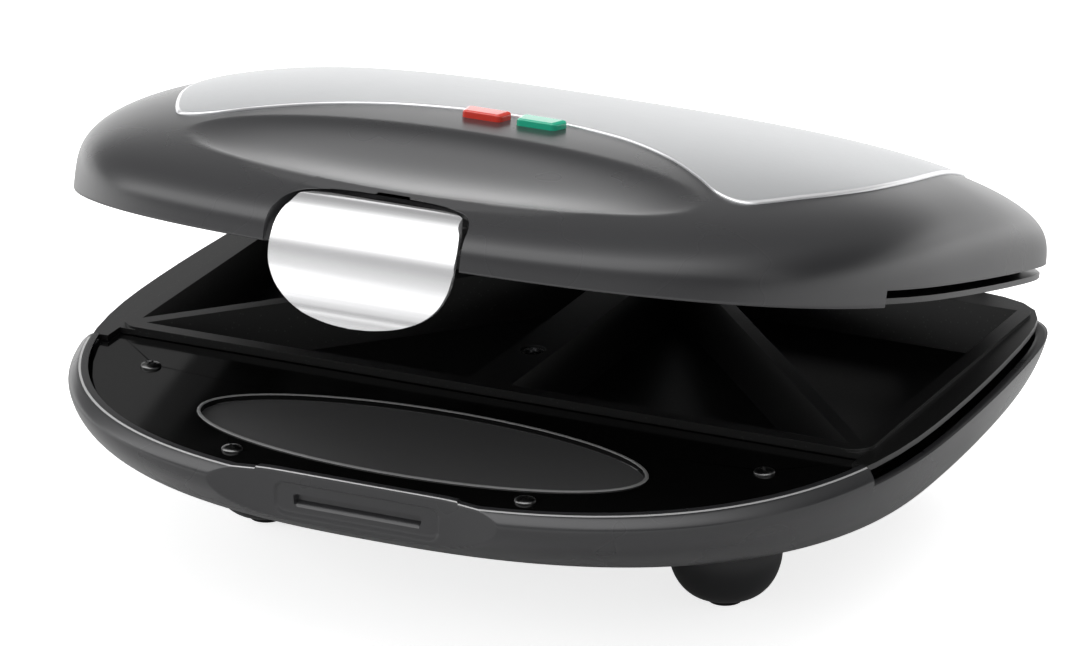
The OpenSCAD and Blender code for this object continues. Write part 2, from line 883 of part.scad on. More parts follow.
// The parts of the lid are drawn closed and turned about the hinge to rest
module at_rest() {
    translate([0, hinge_y, hinge_z])
        rotate([-rest_open, 0, 0])
            translate([0, -hinge_y, -hinge_z])
                children();
}

// Turns a part of the lower half over into its place in the closed lid
module upside() {
    translate([0, 0, 2 * part_z])
        mirror([0, 0, 1])
            children();
}

module arm_profile() {
    polygon([
        [arm_pad_y[0], arm_pad_z[0]], [hinge_y - 3.5, hinge_z - 6], [hinge_y + 3, hinge_z + 6.3],
        [hinge_pad_y[1] + 1, arm_pad_z[1]], [arm_pad_y[0], arm_pad_z[1]]]);
    translate([hinge_y, hinge_z])
        circle(r = hinge_eye_r);
}
arm_pad_y = [83.6, 87];
arm_screw_z = 61.5;
arm_screw_dx = 9.5;

module hinge_arm(s) {
    color(shell_grey)
        at_rest()
            difference() {
                union() {
                    side_extrude(s * hinge_x - arm_half_t, s * hinge_x + arm_half_t)
                        arm_profile();
                    translate([s * hinge_x - 13.5, arm_pad_y[0], arm_pad_z[0] + 1.5])
                        cube([27, 2.2, arm_pad_z[1] - arm_pad_z[0] - 1.5]);
                }
                translate([s * hinge_x - 20, hinge_y, hinge_z])
                    rotate([0, 90, 0])
                        cylinder(r = hinge_pin_r + run_fit, h = 40);
                for (d = [-arm_screw_dx, arm_screw_dx])
                    translate([s * hinge_x + d, 70, arm_screw_z])
                        rotate([-90, 0, 0])
                            cylinder(r = screw_hole_r, h = 30);
            }
}

module hinge_arm_screws() {
    color(steel)
        at_rest()
            for (s = [-1, 1], d = [-arm_screw_dx, arm_screw_dx])
                translate([s * hinge_x + d, arm_pad_y[0] + 2.2, arm_screw_z])
                    rotate([-90, 0, 0])
                        screw(screw_r, 2.8, 1.4, 9);
}

// Sleeved lead that crosses the hinge: its two halves meet face to face on the axis
hinge_lead_x = -44;
hinge_lead_exit_z = 37;
lead_sleeve_r = 2.3;
lead_meet_x = -36;
lid_lead_x = -26;
lid_lead_z = 64.5;
lid_lead_end = [-18, 72.6, 64.5];

module hinge_lead_base() {
    color(deck_black)
        wire([[block[0][0] - 0.1, 63, 22], [hinge_lead_x, 63, 22], [hinge_lead_x, 74.8, 29],
            [hinge_lead_x, 74.8, hinge_lead_exit_z], [hinge_lead_x, 93, hinge_lead_exit_z],
            [hinge_lead_x, hinge_y, 45], [hinge_lead_x, hinge_y, hinge_z],
            [lead_meet_x - 0.15, hinge_y, hinge_z]], lead_sleeve_r);
}

module hinge_lead_lid() {
    color(deck_black)
        at_rest()
            wire([[lead_meet_x + 0.15, hinge_y, hinge_z], [lid_lead_x, hinge_y, hinge_z],
                [lid_lead_x, 96, lid_lead_z], [lid_lead_x, 74.3, lid_lead_z], lid_lead_end],
                lead_sleeve_r);
}

// Lid shell

lid_mid_y = 36.6;
lid_edge_p = 2.8;
lid_edge_q = 4.6;
// Share of the lower edge's size that each ring of the lid has
lid_steps = [1, 0.998, 0.992, 0.978, 0.952, 0.915, 0.86, 0.79, 0.7, 0.59, 0.45, 0.29, 0.12];

// Height of the crown over the lower edge along the middle of the lid
function crown(y) =
    y < crest_y
        ? crown_h - (crown_h - crown_front_h) * pow((crest_y - y) / (crest_y + lid_front), 2)
        : crown_h - (crown_h - crown_rear_h) * pow((y - crest_y) / (rear_depth - crest_y), 2);

// Depth of the scoop under the smooth crown
function scoop(x, y) =
    let (e = pow(x / scoop_half_w, 2) + pow((y - scoop_y) / scoop_half_d, 2))
    e < 1 ? scoop_depth * pow(1 - e, 0.7) : 0;

// One ring of the lid: share s of the outline, raised by lift
function lid_ring(s, inset, lift, hollow) =
    [for (p = lid_outline(inset))
        let (
            x = p[0] * s,
            y = (p[1] - lid_mid_y) * s + lid_mid_y,
            rise = pow(1 - pow(s, lid_edge_p), 1 / lid_edge_q)
        )
        [x, y, lid_edge_z + crown(y) * rise + lift * rise - hollow * scoop(x, y)]];

// The lid as a solid whose lower face is at the lower edge
module lid_solid(inset, lift, hollow) {
    loft([for (i = [len(lid_steps) - 1:-1:0]) lid_ring(lid_steps[i], inset, lift, hollow)]);
}

// Right lens: just in front of the top cover, its rear edge wider than its front edge
lens_y = -31.6;
lens_half_d = 3;
lens_rear_x = [1.4, 14.2];
lens_front_x = [2.2, 13];
lens_slope = 8.8;
lens_z = 82.1;
lens_h = 4.4;
lens_deep = 3.6;

// Opening in the lid's front that the latch sits in, with rounded rear corners
notch_gap = 1;
notch_half_w = latch_half_w + notch_gap;
notch_rear = [[0, -98.1], [9, -98.4], [15, -99.1], [19, -100.2], [22, -101.8], [24.2, -104.2],
    [25.6, -107.2], [notch_half_w, -110]];

// Plan outline of the opening, drawn in by inset
module notch_plan(inset) {
    offset(delta = -inset)
        polygon(concat([[-notch_half_w, -135]],
            [for (i = [len(notch_rear) - 1:-1:1]) [-notch_rear[i][0], notch_rear[i][1]]],
            notch_rear, [[notch_half_w, -135]]));
}

module lid_shell() {
    color(shell_grey)
        at_rest()
            difference() {
                union() {
                    difference() {
                        lid_solid(0, 0, 1);
                        translate([0, 0, -eps])
                            lid_solid(wall, -wall, 1);
                    }
                    // Posts for the deck screws and the plate screws
                    intersection() {
                        lid_solid(1, -1, 1);
                        union() {
                            for (p = deck_screw_at)
                                translate([p[0], p[1], 2 * part_z - deck_top_z + deck_t])
                                    cylinder(r = deck_post_r, h = 40);
                            for (y = plate_screw_y)
                                translate([0, y, 2 * part_z - low_flange[0]])
                                    cylinder(r = plate_post_r, h = 40);
                        }
                    }
                }
                // Low edge over the plate's flange
                translate([-130, step_y, 40])
                    cube([260, 160, lid_low_edge_z - 40]);
                for (p = deck_screw_at)
                    translate([p[0], p[1], 40])
                        cylinder(r = screw_hole_r, h = 2 * part_z - deck_top_z + deck_hole_h - 40);
                for (y = plate_screw_y)
                    translate([0, y, 40])
                        cylinder(r = screw_hole_r, h = 2 * part_z - ring_top_z + 14 - 40);
                // Notch for the latch
                translate([0, 0, 40])
                    linear_extrude(30)
                        notch_plan(0);
                // Windows for the two lenses
                for (s = [0, 1])
                    mirror([s, 0, 0])
                        lens_block(0.15, 2 * lens_h, -lens_deep - 2);
                // Hinge lead hole and hinge screw holes in the rear wall
                translate([lid_lead_x, rear_depth - 15, lid_lead_z])
                    rotate([-90, 0, 0])
                        cylinder(r = lead_sleeve_r + 0.5, h = 30);
                for (s = [-1, 1], d = [-arm_screw_dx, arm_screw_dx])
                    translate([s * hinge_x + d, rear_depth - 15, arm_screw_z])
                        rotate([-90, 0, 0])
                            cylinder(r = screw_hole_r, h = 30);
            }
}

// The right lens: a tapered bar along the slope of the lid, from low up by height
module lens_block(grow, height, low) {
    rear = lens_half_d + grow;
    translate([0, lens_y, lens_z])
        rotate([lens_slope, 0, 0])
            translate([0, 0, low])
                linear_extrude(height)
                    polygon([
                        [lens_rear_x[0] - grow, rear], [lens_rear_x[1] + grow, rear],
                        [lens_front_x[1] + grow, -rear], [lens_front_x[0] - grow, -rear]]);
}

module lens_red() {
    color([0.85, 0.10, 0.06])
        at_rest()
            mirror([1, 0, 0])
                lens_block(0, lens_h, -lens_deep);
}

module lens_green() {
    color([0.05, 0.65, 0.45])
        at_rest()
            lens_block(0, lens_h, -lens_deep);
}

// Height and thickness of the plate that carries the lamps
holder_z = 71;
holder_t = 1.6;

module lamp_holder() {
    color([0.85, 0.83, 0.78])
        at_rest() {
            translate([-22, lens_y - 6.5, holder_z])
                cube([44, 13, holder_t]);
            // Two legs up to the lid
            for (x = [-20, 20])
                translate([x, lens_y, holder_z + holder_t - eps])
                    cylinder(r = 1.6, h = 5.4);
        }
}

module neon_lamp(x) {
    translate([x, lens_y, holder_z + holder_t]) {
        cylinder(r = 2, h = 2.4);
        translate([0, 0, 2.4])
            sphere(r = 2);
    }
}

module neon_lamp_red() {
    color([0.95, 0.55, 0.40])
        at_rest()
            neon_lamp(-8);
}

module neon_lamp_green() {
    color([0.60, 0.90, 0.70])
        at_rest()
            neon_lamp(8);
}

// Silver cover over the lid's crown

cover_t = 0.7;
// Right half of the cover's plan outline, from the middle of the front edge round to the rear
cover_edge = [
    [0, -25.2], [10, -25.8], [20, -28], [33, -32.4], [48, -41.3], [61, -52], [70, -60], [75.5, -62.3],
    [79.3, -61.4], [82.4, -57.2], [87, -48], [91.6, -36.5], [95.1, -22], [96.4, -5], [96, 12],
    [93.5, 38], [90, 56], [84.5, 66.5], [76, 71.5], [60, 73.5], [0, 74.5]
];

module cover_outline() {
    polygon(concat(cover_edge, [for (i = [len(cover_edge) - 2:-1:1]) [-cover_edge[i][0], cover_edge[i][1]]]));
}

module lid_top_cover() {
    color(silver)
        at_rest()
            intersection() {
                translate([0, 0, 60])
                    linear_extrude(40)
                        cover_outline();
                difference() {
                    lid_solid(0, cover_t, 0);
                    translate([0, 0, 0.01])
                        lid_solid(0, 0, 0);
                }
            }
}

// Upper halves of the mirrored parts

module upper_deck() {
    color(deck_black)
        at_rest()
            upside()
                difference() {
                    deck();
                    // Room for the latch's bracket behind the lid's notch
                    front_block(notch_half_w + 1.3, -130, -94, 30, 60);
                }
}

module upper_deck_screws() {
    color(steel)
        at_rest()
            upside()
                deck_screw_set();
}

module upper_plate() {
    color(plate_black)
        at_rest()
            upside()
                plate();
}

module upper_plate_screws() {
    color(steel)
        at_rest()
            upside()
                plate_screw_set();
}

module upper_heater() {
    color(steel)
        at_rest()
            upside()
                heater();
}

module upper_heater_clamps() {
    color(steel)
        at_rest()
            upside()
                heater_clamps();
}

module upper_reflector() {
    color(silver)
        at_rest()
            upside()
                reflector(upper_leg);
}

module upper_thermal_fuse() {
    color([0.86, 0.86, 0.82])
        at_rest()
            upside()
                thermal_fuse();
}

module lid_leads() {
    heater_up = 2 * part_z - heater_z;
    fuse_up = 2 * part_z - fuse_z;
    pin_end_y = heater_end_y + 4.3;
    color([0.85, 0.85, 0.82])
        at_rest() {
            // Right end of the element to the lamps
            wire([[heater_end_x, pin_end_y, heater_up], [heater_end_x, 69.5, heater_up],
                [71, 60, heater_up], [71, -20, heater_up], [22.6, lens_y, holder_z + 0.8]], lead_r);
            // Sleeved lead to the left end of the element
            wire([lid_lead_end + [0.4, 0, 0], [-heater_end_x, 71.4, heater_up - 1.2],
                [-heater_end_x, pin_end_y, heater_up]], lead_r);
            // Fuse to the element's left side
            wire([[fuse_x - 12.3, thermostat_at[1], fuse_up], [-50, thermostat_at[1], fuse_up],
                [heater_r - heater_half_w + 0.3, thermostat_at[1], heater_up]], lead_r);
        }
}

// Latch and its pivot, drawn closed

// Right edge of the latch seen from the front, from its top down to its lowest point
latch_edge = [
    [21.6, 66], [22.8, 61.6], [24.1, 59.4], [24.9, 56.6], [latch_half_w, 53.4],
    [latch_half_w, 49.6], [24.6, 45.8], [22.9, 42], [20.8, 39.4], [18.6, 37.6], [16.2, 36.2],
    [13, 34.9], [9.4, 34], [5, 33.3], [0, 33]
];

module latch_front() {
    polygon(concat(latch_edge, [for (i = [len(latch_edge) - 2:-1:0]) [-latch_edge[i][0], latch_edge[i][1]]]));
}

// Side view of the latch plate: follows the lid's front, hangs over the catch and flares
latch_outer = [
    [-100.4, 63.9], [-102.4, 63.6], [-105, 62.7], [-107.2, 61.2], [-108.9, 59.2], [-110.4, 56.8],
    [-111.5, 54], [-112.3, 50.6], [-112.6, 46.6], [-112.5, 42.6], [-112.4, 39.6], [-112.6, 37],
    [-113.3, 34.8], [-114, 32.8]
];
latch_inner = [
    [-112.5, 32.6], [-111.9, 34.4], [-111.2, 36.8], [-111, 39.6], [-111.1, 42.6], [-111.1, 46.6],
    [-110.8, 50.4], [-110.1, 53.5], [-109.1, 56.1], [-107.7, 58.3], [-106.2, 60.1], [-104.3, 61.4],
    [-102, 62.2], [-100.4, 62.4]
];
hook_half_w = 15;
hook_z = [42.2, 43.2];
hook_tip_y = -109.5;
lug_x = [13, 17];
lug_r = 3;

module latch() {
    color(chrome)
        at_rest()
            difference() {
                union() {
                    intersection() {
                        side_extrude(-latch_half_w, latch_half_w)
                            polygon(concat(latch_outer, latch_inner));
                        translate([0, -90, 0])
                            rotate([90, 0, 0])
                                linear_extrude(40)
                                    latch_front();
                        linear_extrude(80)
                            notch_plan(notch_gap);
                    }
                    // Hook that swings under the base's catch
                    side_extrude(-hook_half_w, hook_half_w)
                        polygon([[-111.6, hook_z[0] - 0.8], [hook_tip_y, hook_z[0]],
                            [hook_tip_y, hook_z[1]], [-111.6, hook_z[1] + 0.8]]);
                    // Lugs round the pin
                    for (s = [-1, 1])
                        side_extrude(min(s * lug_x[0], s * lug_x[1]), max(s * lug_x[0], s * lug_x[1])) {
                            translate([latch_pivot_y, latch_pivot_z])
                                circle(r = lug_r);
                            polygon([[latch_pivot_y - lug_r, latch_pivot_z - 0.4],
                                [latch_pivot_y + lug_r, latch_pivot_z + 0.4], [-101, 62.9],
                                [-104.6, 62.1], [-108, 59.2]]);
                        }
                }
                translate([-30, latch_pivot_y, latch_pivot_z])
                    rotate([0, 90, 0])
                        cylinder(r = latch_pin_r + run_fit, h = 60);
            }
}

bracket_ear_x = [19.4, 22.2];
bracket_ear_r = 2.7;
bracket_wall_z = [53.2, 62.4];

module latch_bracket() {
    color(deck_black)
        at_rest()
            difference() {
                union() {
                    // Rear wall of the pocket behind the latch
                    front_block(notch_half_w + 0.1, -97.4, -95.8, bracket_wall_z[0], bracket_wall_z[1]);
                    for (s = [-1, 1])
                        side_extrude(min(s * bracket_ear_x[0], s * bracket_ear_x[1]),
                            max(s * bracket_ear_x[0], s * bracket_ear_x[1])) {
                            translate([latch_pivot_y, latch_pivot_z])
                                circle(r = bracket_ear_r);
                            translate([latch_pivot_y, latch_pivot_z - bracket_ear_r])
                                square([7, 2 * bracket_ear_r]);
                        }
                }
                translate([-30, latch_pivot_y, latch_pivot_z])
                    rotate([0, 90, 0])
                        cylinder(r = latch_pin_r, h = 60);
            }
}

module latch_pin() {
    color(steel)
        at_rest()
            translate([-bracket_ear_x[1], latch_pivot_y, latch_pivot_z])
                rotate([0, 90, 0])
                    cylinder(r = latch_pin_r, h = 2 * bracket_ear_x[1]);
}

// The whole toaster, moved from the plan centre to the middle at rest
translate([0, plan_shift_y, -stand_z]) {
    base_shell();
    base_deck();
    deck_screws();
    lower_plate();
    lower_plate_screws();
    lower_heater();
    lower_heater_clamps();
    lower_reflector();
    thermostat();
    lower_thermal_fuse();
    terminal_block();
    cord_gland();
    base_leads();
    foot(-foot_x, front_foot_y, front_foot_r, 26);  // foot_front_left
    foot(foot_x, front_foot_y, front_foot_r, 26);  // foot_front_right
    foot(-foot_x, rear_foot_y, rear_foot_r, 20);  // foot_rear_left
    foot(foot_x, rear_foot_y, rear_foot_r, 20);  // foot_rear_right
    pad(-foot_x, front_foot_y);  // pad_front_left
    pad(foot_x, front_foot_y);  // pad_front_right
    pad(-foot_x, rear_foot_y);  // pad_rear_left
    pad(foot_x, rear_foot_y);  // pad_rear_right
    hinge_bracket(-1);  // hinge_bracket_left
    hinge_bracket(1);  // hinge_bracket_right
    hinge_bracket_screws();
    hinge_pin(-1);  // hinge_pin_left
    hinge_pin(1);  // hinge_pin_right
    hinge_lead_base();
    lid_shell();
    lid_top_cover();
    upper_deck();
    upper_deck_screws();
    upper_plate();
    upper_plate_screws();
    upper_heater();
    upper_heater_clamps();
    upper_reflector();
    upper_thermal_fuse();
    lens_red();
    lens_green();
    lamp_holder();
    neon_lamp_red();
    neon_lamp_green();
    hinge_arm(-1);  // hinge_arm_left
    hinge_arm(1);  // hinge_arm_right
    hinge_arm_screws();
    lid_leads();
    hinge_lead_lid();
    latch_bracket();
    latch_pin();
    latch();
}
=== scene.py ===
# %% [markdown]
# # A sandwich toaster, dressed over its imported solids
#
# This notebook builds the looks of a sandwich toaster: two dark grey plastic shells
# with black cooking plates between them, a silver cover on the lid, two small lenses,
# and a chrome latch. The solids of every part are already there, in the right place
# and size. Each cell below either gives a solid its finish or makes a smoother piece
# that stands where the solid is. Lengths are written in millimetres and turned into
# metres in one place.

import json
import math

import bpy
import bmesh
import numpy as np
from mathutils import Matrix, Vector


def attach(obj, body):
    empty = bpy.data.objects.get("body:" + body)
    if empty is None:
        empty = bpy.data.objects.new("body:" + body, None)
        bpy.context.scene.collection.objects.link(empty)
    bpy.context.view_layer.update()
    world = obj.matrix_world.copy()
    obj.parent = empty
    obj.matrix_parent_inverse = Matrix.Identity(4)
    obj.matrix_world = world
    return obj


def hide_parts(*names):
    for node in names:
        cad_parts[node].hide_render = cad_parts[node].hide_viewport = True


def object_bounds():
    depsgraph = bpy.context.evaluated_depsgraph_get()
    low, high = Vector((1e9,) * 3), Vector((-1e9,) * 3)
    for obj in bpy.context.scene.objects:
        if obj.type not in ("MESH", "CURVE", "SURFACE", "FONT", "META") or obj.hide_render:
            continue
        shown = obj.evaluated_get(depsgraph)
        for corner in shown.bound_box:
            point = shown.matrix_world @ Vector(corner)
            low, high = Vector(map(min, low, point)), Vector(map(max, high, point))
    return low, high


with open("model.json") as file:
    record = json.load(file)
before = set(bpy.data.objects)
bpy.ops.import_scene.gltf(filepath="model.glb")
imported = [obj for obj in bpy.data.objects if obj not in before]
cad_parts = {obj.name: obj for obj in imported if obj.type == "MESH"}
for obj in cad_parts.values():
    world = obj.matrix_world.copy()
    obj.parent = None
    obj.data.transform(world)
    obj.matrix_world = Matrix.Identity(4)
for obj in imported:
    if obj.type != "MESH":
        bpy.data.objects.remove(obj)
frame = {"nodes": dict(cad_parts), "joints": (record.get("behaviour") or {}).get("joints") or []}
solid_box = [list(corner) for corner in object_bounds()]
print("solid box", solid_box)

# %% [markdown]
# ## The camera
#
# The camera looks at the front right side from a little above, and from about two
# metres away with a long lens, so the toaster shows very little perspective.

# %% Camera
MM = 0.001
HINGE_Y, HINGE_Z = 104.0, 54.0
REST_OPEN = math.radians(15.4)
SHIFT_Y = frame["joints"][0]["pos_m"][1] / MM - HINGE_Y
SHIFT_Z = frame["joints"][0]["pos_m"][2] / MM - HINGE_Z


def in_scene(name, data):
    """A new object in the scene, with a camera, lamp or mesh as its data."""
    obj = bpy.data.objects.new(name, data)
    bpy.context.scene.collection.objects.link(obj)
    return obj


camera_data = bpy.data.cameras.new("camera")
camera = in_scene("camera", camera_data)
azimuth, elevation, roll = math.radians(25.57), math.radians(20.82), math.radians(-0.14)
DISTANCE, SENSOR, FOCAL_PIXELS, PHOTO_WIDTH = 2.07976, 36.0, 8235.17, 1089
back = Vector((
    math.sin(azimuth) * math.cos(elevation),
    -math.cos(azimuth) * math.cos(elevation),
    math.sin(elevation),
))
aim = Vector((17.94, -38.48 + SHIFT_Y, 70.93 + SHIFT_Z)) * MM
camera.location = aim + back * DISTANCE
camera.rotation_mode = "QUATERNION"
turn = (-back).to_track_quat("-Z", "Y")
camera.rotation_quaternion = turn @ Matrix.Rotation(roll, 4, "Z").to_quaternion()
camera_data.sensor_width = SENSOR
camera_data.lens = SENSOR * FOCAL_PIXELS / PHOTO_WIDTH
camera_data.clip_start, camera_data.clip_end = 0.05, 50.0
bpy.context.scene.camera = camera
print("camera at", [round(v, 3) for v in camera.location])

# %% [markdown]
# ## Light and ground
#
# In a photo studio large pale sheets hang round the object, and what a glossy part
# mirrors of them draws its light and dark stripes. So mirrored rays see a tent here.
# Its grey level depends on the angle over the toaster: 0 degrees is the horizon
# behind it, 90 is overhead and 180 is the horizon in front. All other rays see an even
# soft white. A picture of a room would do too, but a ramp is easier to read and change.

# %% Small helpers for node trees
WHITE = (1, 1, 1, 1)


def new_node(tree, kind, **values):
    """A new node with its properties and plain input values set."""
    node = tree.nodes.new(kind)
    for key, value in values.items():
        if hasattr(node, key):
            setattr(node, key, value)
        else:
            node.inputs[key.replace("_", " ")].default_value = value
    return node


def wire(start, output, end, into=0):
    """Links an output of one node to an input of another one in its tree."""
    start.id_data.links.new(start.outputs[output], end.inputs[into])


def calc(tree, operation, *given):
    """A Math node. Each value given is a number, or a node and one of its outputs."""
    node = new_node(tree, "ShaderNodeMath", operation=operation)
    for into, value in enumerate(given):
        if isinstance(value, tuple):
            wire(*value, node, into)
        else:
            node.inputs[into].default_value = value
    return node


def ranged(start, output, low, high, to_low=0.0, to_high=1.0):
    """A Map Range node that turns an output's range from low to high into another."""
    node = new_node(start.id_data, "ShaderNodeMapRange",
                    From_Min=low, From_Max=high, To_Min=to_low, To_Max=to_high)
    wire(start, output, node, "Value")
    return node


def ramp(tree, stops):
    """A colour ramp through (place, grey level) stops."""
    node = tree.nodes.new("ShaderNodeValToRGB")
    elements = node.color_ramp.elements
    while len(elements) < len(stops):
        elements.new(0.5)
    for element, (place, level) in zip(elements, stops):
        element.position = place
        element.color = (level, level, level, 1)
    return node


def either(share, output, first, second):
    """A mix of two shader nodes, where a share of 1 gives the second."""
    mix = new_node(share.id_data, "ShaderNodeMixShader")
    wire(share, output, mix, "Fac")
    wire(first, 0, mix, 1)
    wire(second, 0, mix, 2)
    return mix


# %% World
TENT = [(0, 1.6), (8, 1.5), (16, 0.26), (42, 0.24), (62, 0.50), (84, 1.6), (98, 2.8), (134, 3.0),
        (146, 0.75), (152, 0.45), (161, 0.45), (171, 0.8), (180, 0.95)]
BRIGHTEST = 3.0

world = bpy.data.worlds.new("studio")
bpy.context.scene.world = world
world.use_nodes = True
tree = world.node_tree
tree.nodes.clear()
where = new_node(tree, "ShaderNodeTexCoord")
split = new_node(tree, "ShaderNodeSeparateXYZ")
wire(where, "Generated", split)
over = calc(tree, "ARCTAN2", (split, "Z"), (split, "Y"))
height = ranged(over, 0, 0, math.pi)
levels = ramp(tree, [(degrees / 180, level / BRIGHTEST) for degrees, level in TENT])
wire(height, "Result", levels, "Fac")
# The tent is dimmer far out to the right
side = ranged(split, "X", 0.35, 0.85, BRIGHTEST, 1.0)
mirrored_sky = new_node(tree, "ShaderNodeBackground")
wire(levels, "Color", mirrored_sky, "Color")
wire(side, "Result", mirrored_sky, "Strength")
above_ground = ranged(split, "Z", -0.02, 0.01)
mirrored_ground = new_node(tree, "ShaderNodeBackground", Color=(0.95, 0.95, 0.95, 1))
mirrored = either(above_ground, "Result", mirrored_ground, mirrored_sky)
soft = new_node(tree, "ShaderNodeBackground", Color=WHITE, Strength=0.5)
seen = new_node(tree, "ShaderNodeBackground", Color=WHITE)
path = new_node(tree, "ShaderNodeLightPath")
felt = either(path, "Is Glossy Ray", soft, mirrored)
whole = either(path, "Is Camera Ray", felt, seen)
wire(whole, 0, new_node(tree, "ShaderNodeOutputWorld"), "Surface")
print("world", len(tree.nodes), "nodes")


# %% Lamps
def soft_lamp(name, place, aim_at, size, watts):
    """A square area lamp that points at a place and shows in no mirror."""
    data = bpy.data.lights.new(name, "AREA")
    data.shape = "SQUARE"
    data.size = size
    data.energy = watts
    lamp = in_scene(name, data)
    lamp.location = place
    lamp.rotation_mode = "QUATERNION"
    lamp.rotation_quaternion = (Vector(aim_at) - Vector(place)).to_track_quat("-Z", "Y")
    lamp.visible_glossy = False
    print("lamp", name, watts, "watts")


soft_lamp("overhead", (-0.25, -0.15, 1.5), (0, 0, 0.05), 0.9, 9.0)
soft_lamp("front_left", (-1.3, -1.5, 0.9), (0, 0, 0.07), 0.8, 7.0)
soft_lamp("rear", (0.4, 1.4, 1.1), (0, 0, 0.08), 0.9, 6.0)

# %% [markdown]
# The floor keeps the toaster's shadow, so it has a pale paint that the lamps light. A
# little glow is added for the camera, which turns its far part white without more
# light on the toaster. In mirrors it is dim close by, under the toaster's own shadow,
# and bright further off.

# %% Floor
HALF_FLOOR, JUST_BELOW = 4.0, -0.0002
corners = [(-HALF_FLOOR, -HALF_FLOOR), (HALF_FLOOR, -HALF_FLOOR),
           (HALF_FLOOR, HALF_FLOOR), (-HALF_FLOOR, HALF_FLOOR)]
floor_mesh = bpy.data.meshes.new("floor")
floor_mesh.from_pydata([(x, y, 0) for x, y in corners], [], [(0, 1, 2, 3)])
floor = in_scene("floor", floor_mesh)
floor.location.z = JUST_BELOW
floor_finish = bpy.data.materials.new("pale_floor")
floor_finish.use_nodes = True
tree = floor_finish.node_tree
tree.nodes.clear()
paint = new_node(tree, "ShaderNodeBsdfDiffuse", Color=(0.86, 0.86, 0.86, 1))
path = new_node(tree, "ShaderNodeLightPath")
spot = new_node(tree, "ShaderNodeTexCoord")
away = new_node(tree, "ShaderNodeVectorMath", operation="LENGTH")
wire(spot, "Object", away)
far = ranged(away, "Value", 0.3, 0.6, 0.02, 0.9)
for_mirrors = calc(tree, "MULTIPLY", (far, "Result"), (path, "Is Glossy Ray"))
CAMERA_GLOW = 0.78
strength = calc(tree, "MULTIPLY_ADD", (path, "Is Camera Ray"), CAMERA_GLOW, (for_mirrors, 0))
glow = new_node(tree, "ShaderNodeEmission", Color=WHITE)
wire(strength, 0, glow, "Strength")
both = new_node(tree, "ShaderNodeAddShader")
wire(paint, 0, both, 0)
wire(glow, 0, both, 1)
wire(both, 0, new_node(tree, "ShaderNodeOutputMaterial"), "Surface")
floor_mesh.materials.append(floor_finish)
bpy.context.scene.view_settings.view_transform = "Standard"
print("floor", len(tree.nodes), "nodes")

# %% [markdown]
# ## Finishes
#
# Moulded plastic, non-stick coating, brushed metal and rubber all have fine relief.
# Three shader groups hold that relief, so each finish only sets how coarse and how
# strong its own is. The groups give out values that change over the surface. Plain
# numbers such as the base roughness stay on each finish's own shader.


# %% Group: fine grain
def new_group(name, inputs, outputs):
    """An empty shader group with named float inputs and outputs."""
    made = bpy.data.node_groups.new(name, "ShaderNodeTree")
    for label, value in inputs:
        socket = made.interface.new_socket(label, in_out="INPUT", socket_type="NodeSocketFloat")
        socket.default_value = value
    for label in outputs:
        made.interface.new_socket(label, in_out="OUTPUT", socket_type="NodeSocketFloat")
    return made, new_node(made, "NodeGroupInput"), new_node(made, "NodeGroupOutput")


grain, g_in, g_out = new_group(
    "fine_grain", [("Cells per metre", 2500.0), ("Patchiness", 0.1)], ["Relief", "Roughness shift"])
spot = new_node(grain, "ShaderNodeTexCoord")
bumps = new_node(grain, "ShaderNodeTexNoise", Detail=3.0, Roughness=0.6)
wire(spot, "Object", bumps, "Vector")
wire(g_in, "Cells per metre", bumps, "Scale")
wire(bumps, "Fac", g_out, "Relief")
patches = new_node(grain, "ShaderNodeTexNoise", Scale=35.0, Detail=2.0)
wire(spot, "Object", patches, "Vector")
centred = calc(grain, "SUBTRACT", (patches, "Fac"), 0.5)
scaled = calc(grain, "MULTIPLY", (centred, 0), (g_in, "Patchiness"))
wire(scaled, 0, g_out, "Roughness shift")
print("group", grain.name)

# %% [markdown]
# Brushed metal has long thin scratches that all run one way. Noise that is stretched
# along one axis gives them: here the pattern is squeezed across and drawn out along X.

# %% Group: brushed lines
brushed, b_in, b_out = new_group(
    "brushed_lines", [("Lines per metre", 9000.0), ("Stretch", 0.02)], ["Relief", "Streak"])
spot = new_node(brushed, "ShaderNodeTexCoord")
apart = new_node(brushed, "ShaderNodeSeparateXYZ")
wire(spot, "Object", apart)
along = calc(brushed, "MULTIPLY", (apart, "X"), (b_in, "Stretch"))
joined = new_node(brushed, "ShaderNodeCombineXYZ")
wire(along, 0, joined, "X")
wire(apart, "Y", joined, "Y")
wire(apart, "Z", joined, "Z")
lines = new_node(brushed, "ShaderNodeTexNoise", Detail=2.0)
wire(joined, 0, lines, "Vector")
wire(b_in, "Lines per metre", lines, "Scale")
wire(lines, "Fac", b_out, "Relief")
wire(lines, "Fac", b_out, "Streak")
print("group", brushed.name)

# %% [markdown]
# A non-stick coating is sprayed on and baked, which leaves tiny specks and dimples.
# A Voronoi pattern gives one small dot in each cell.

# %% Group: sprayed specks
specks, s_in, s_out = new_group(
    "sprayed_specks", [("Specks per metre", 900.0), ("Speck size", 0.2)], ["Relief", "Speck"])
spot = new_node(specks, "ShaderNodeTexCoord")
dots = new_node(specks, "ShaderNodeTexVoronoi")
wire(spot, "Object", dots, "Vector")
wire(s_in, "Specks per metre", dots, "Scale")
near = calc(specks, "LESS_THAN", (dots, "Distance"), (s_in, "Speck size"))
wire(near, 0, s_out, "Speck")
wire(dots, "Distance", s_out, "Relief")
print("group", specks.name)

# %% [markdown]
# One function builds every finish, because they all work the same way. The group's
# relief goes through a Bump node. Its second output moves the roughness a little from
# place to place, or mixes in a second colour on the specks.

# %% A finish from one of the groups
# From where to where the second output of a group mostly goes
SPAN = {"fine_grain": (-0.5, 0.5), "brushed_lines": (0.3, 0.7)}


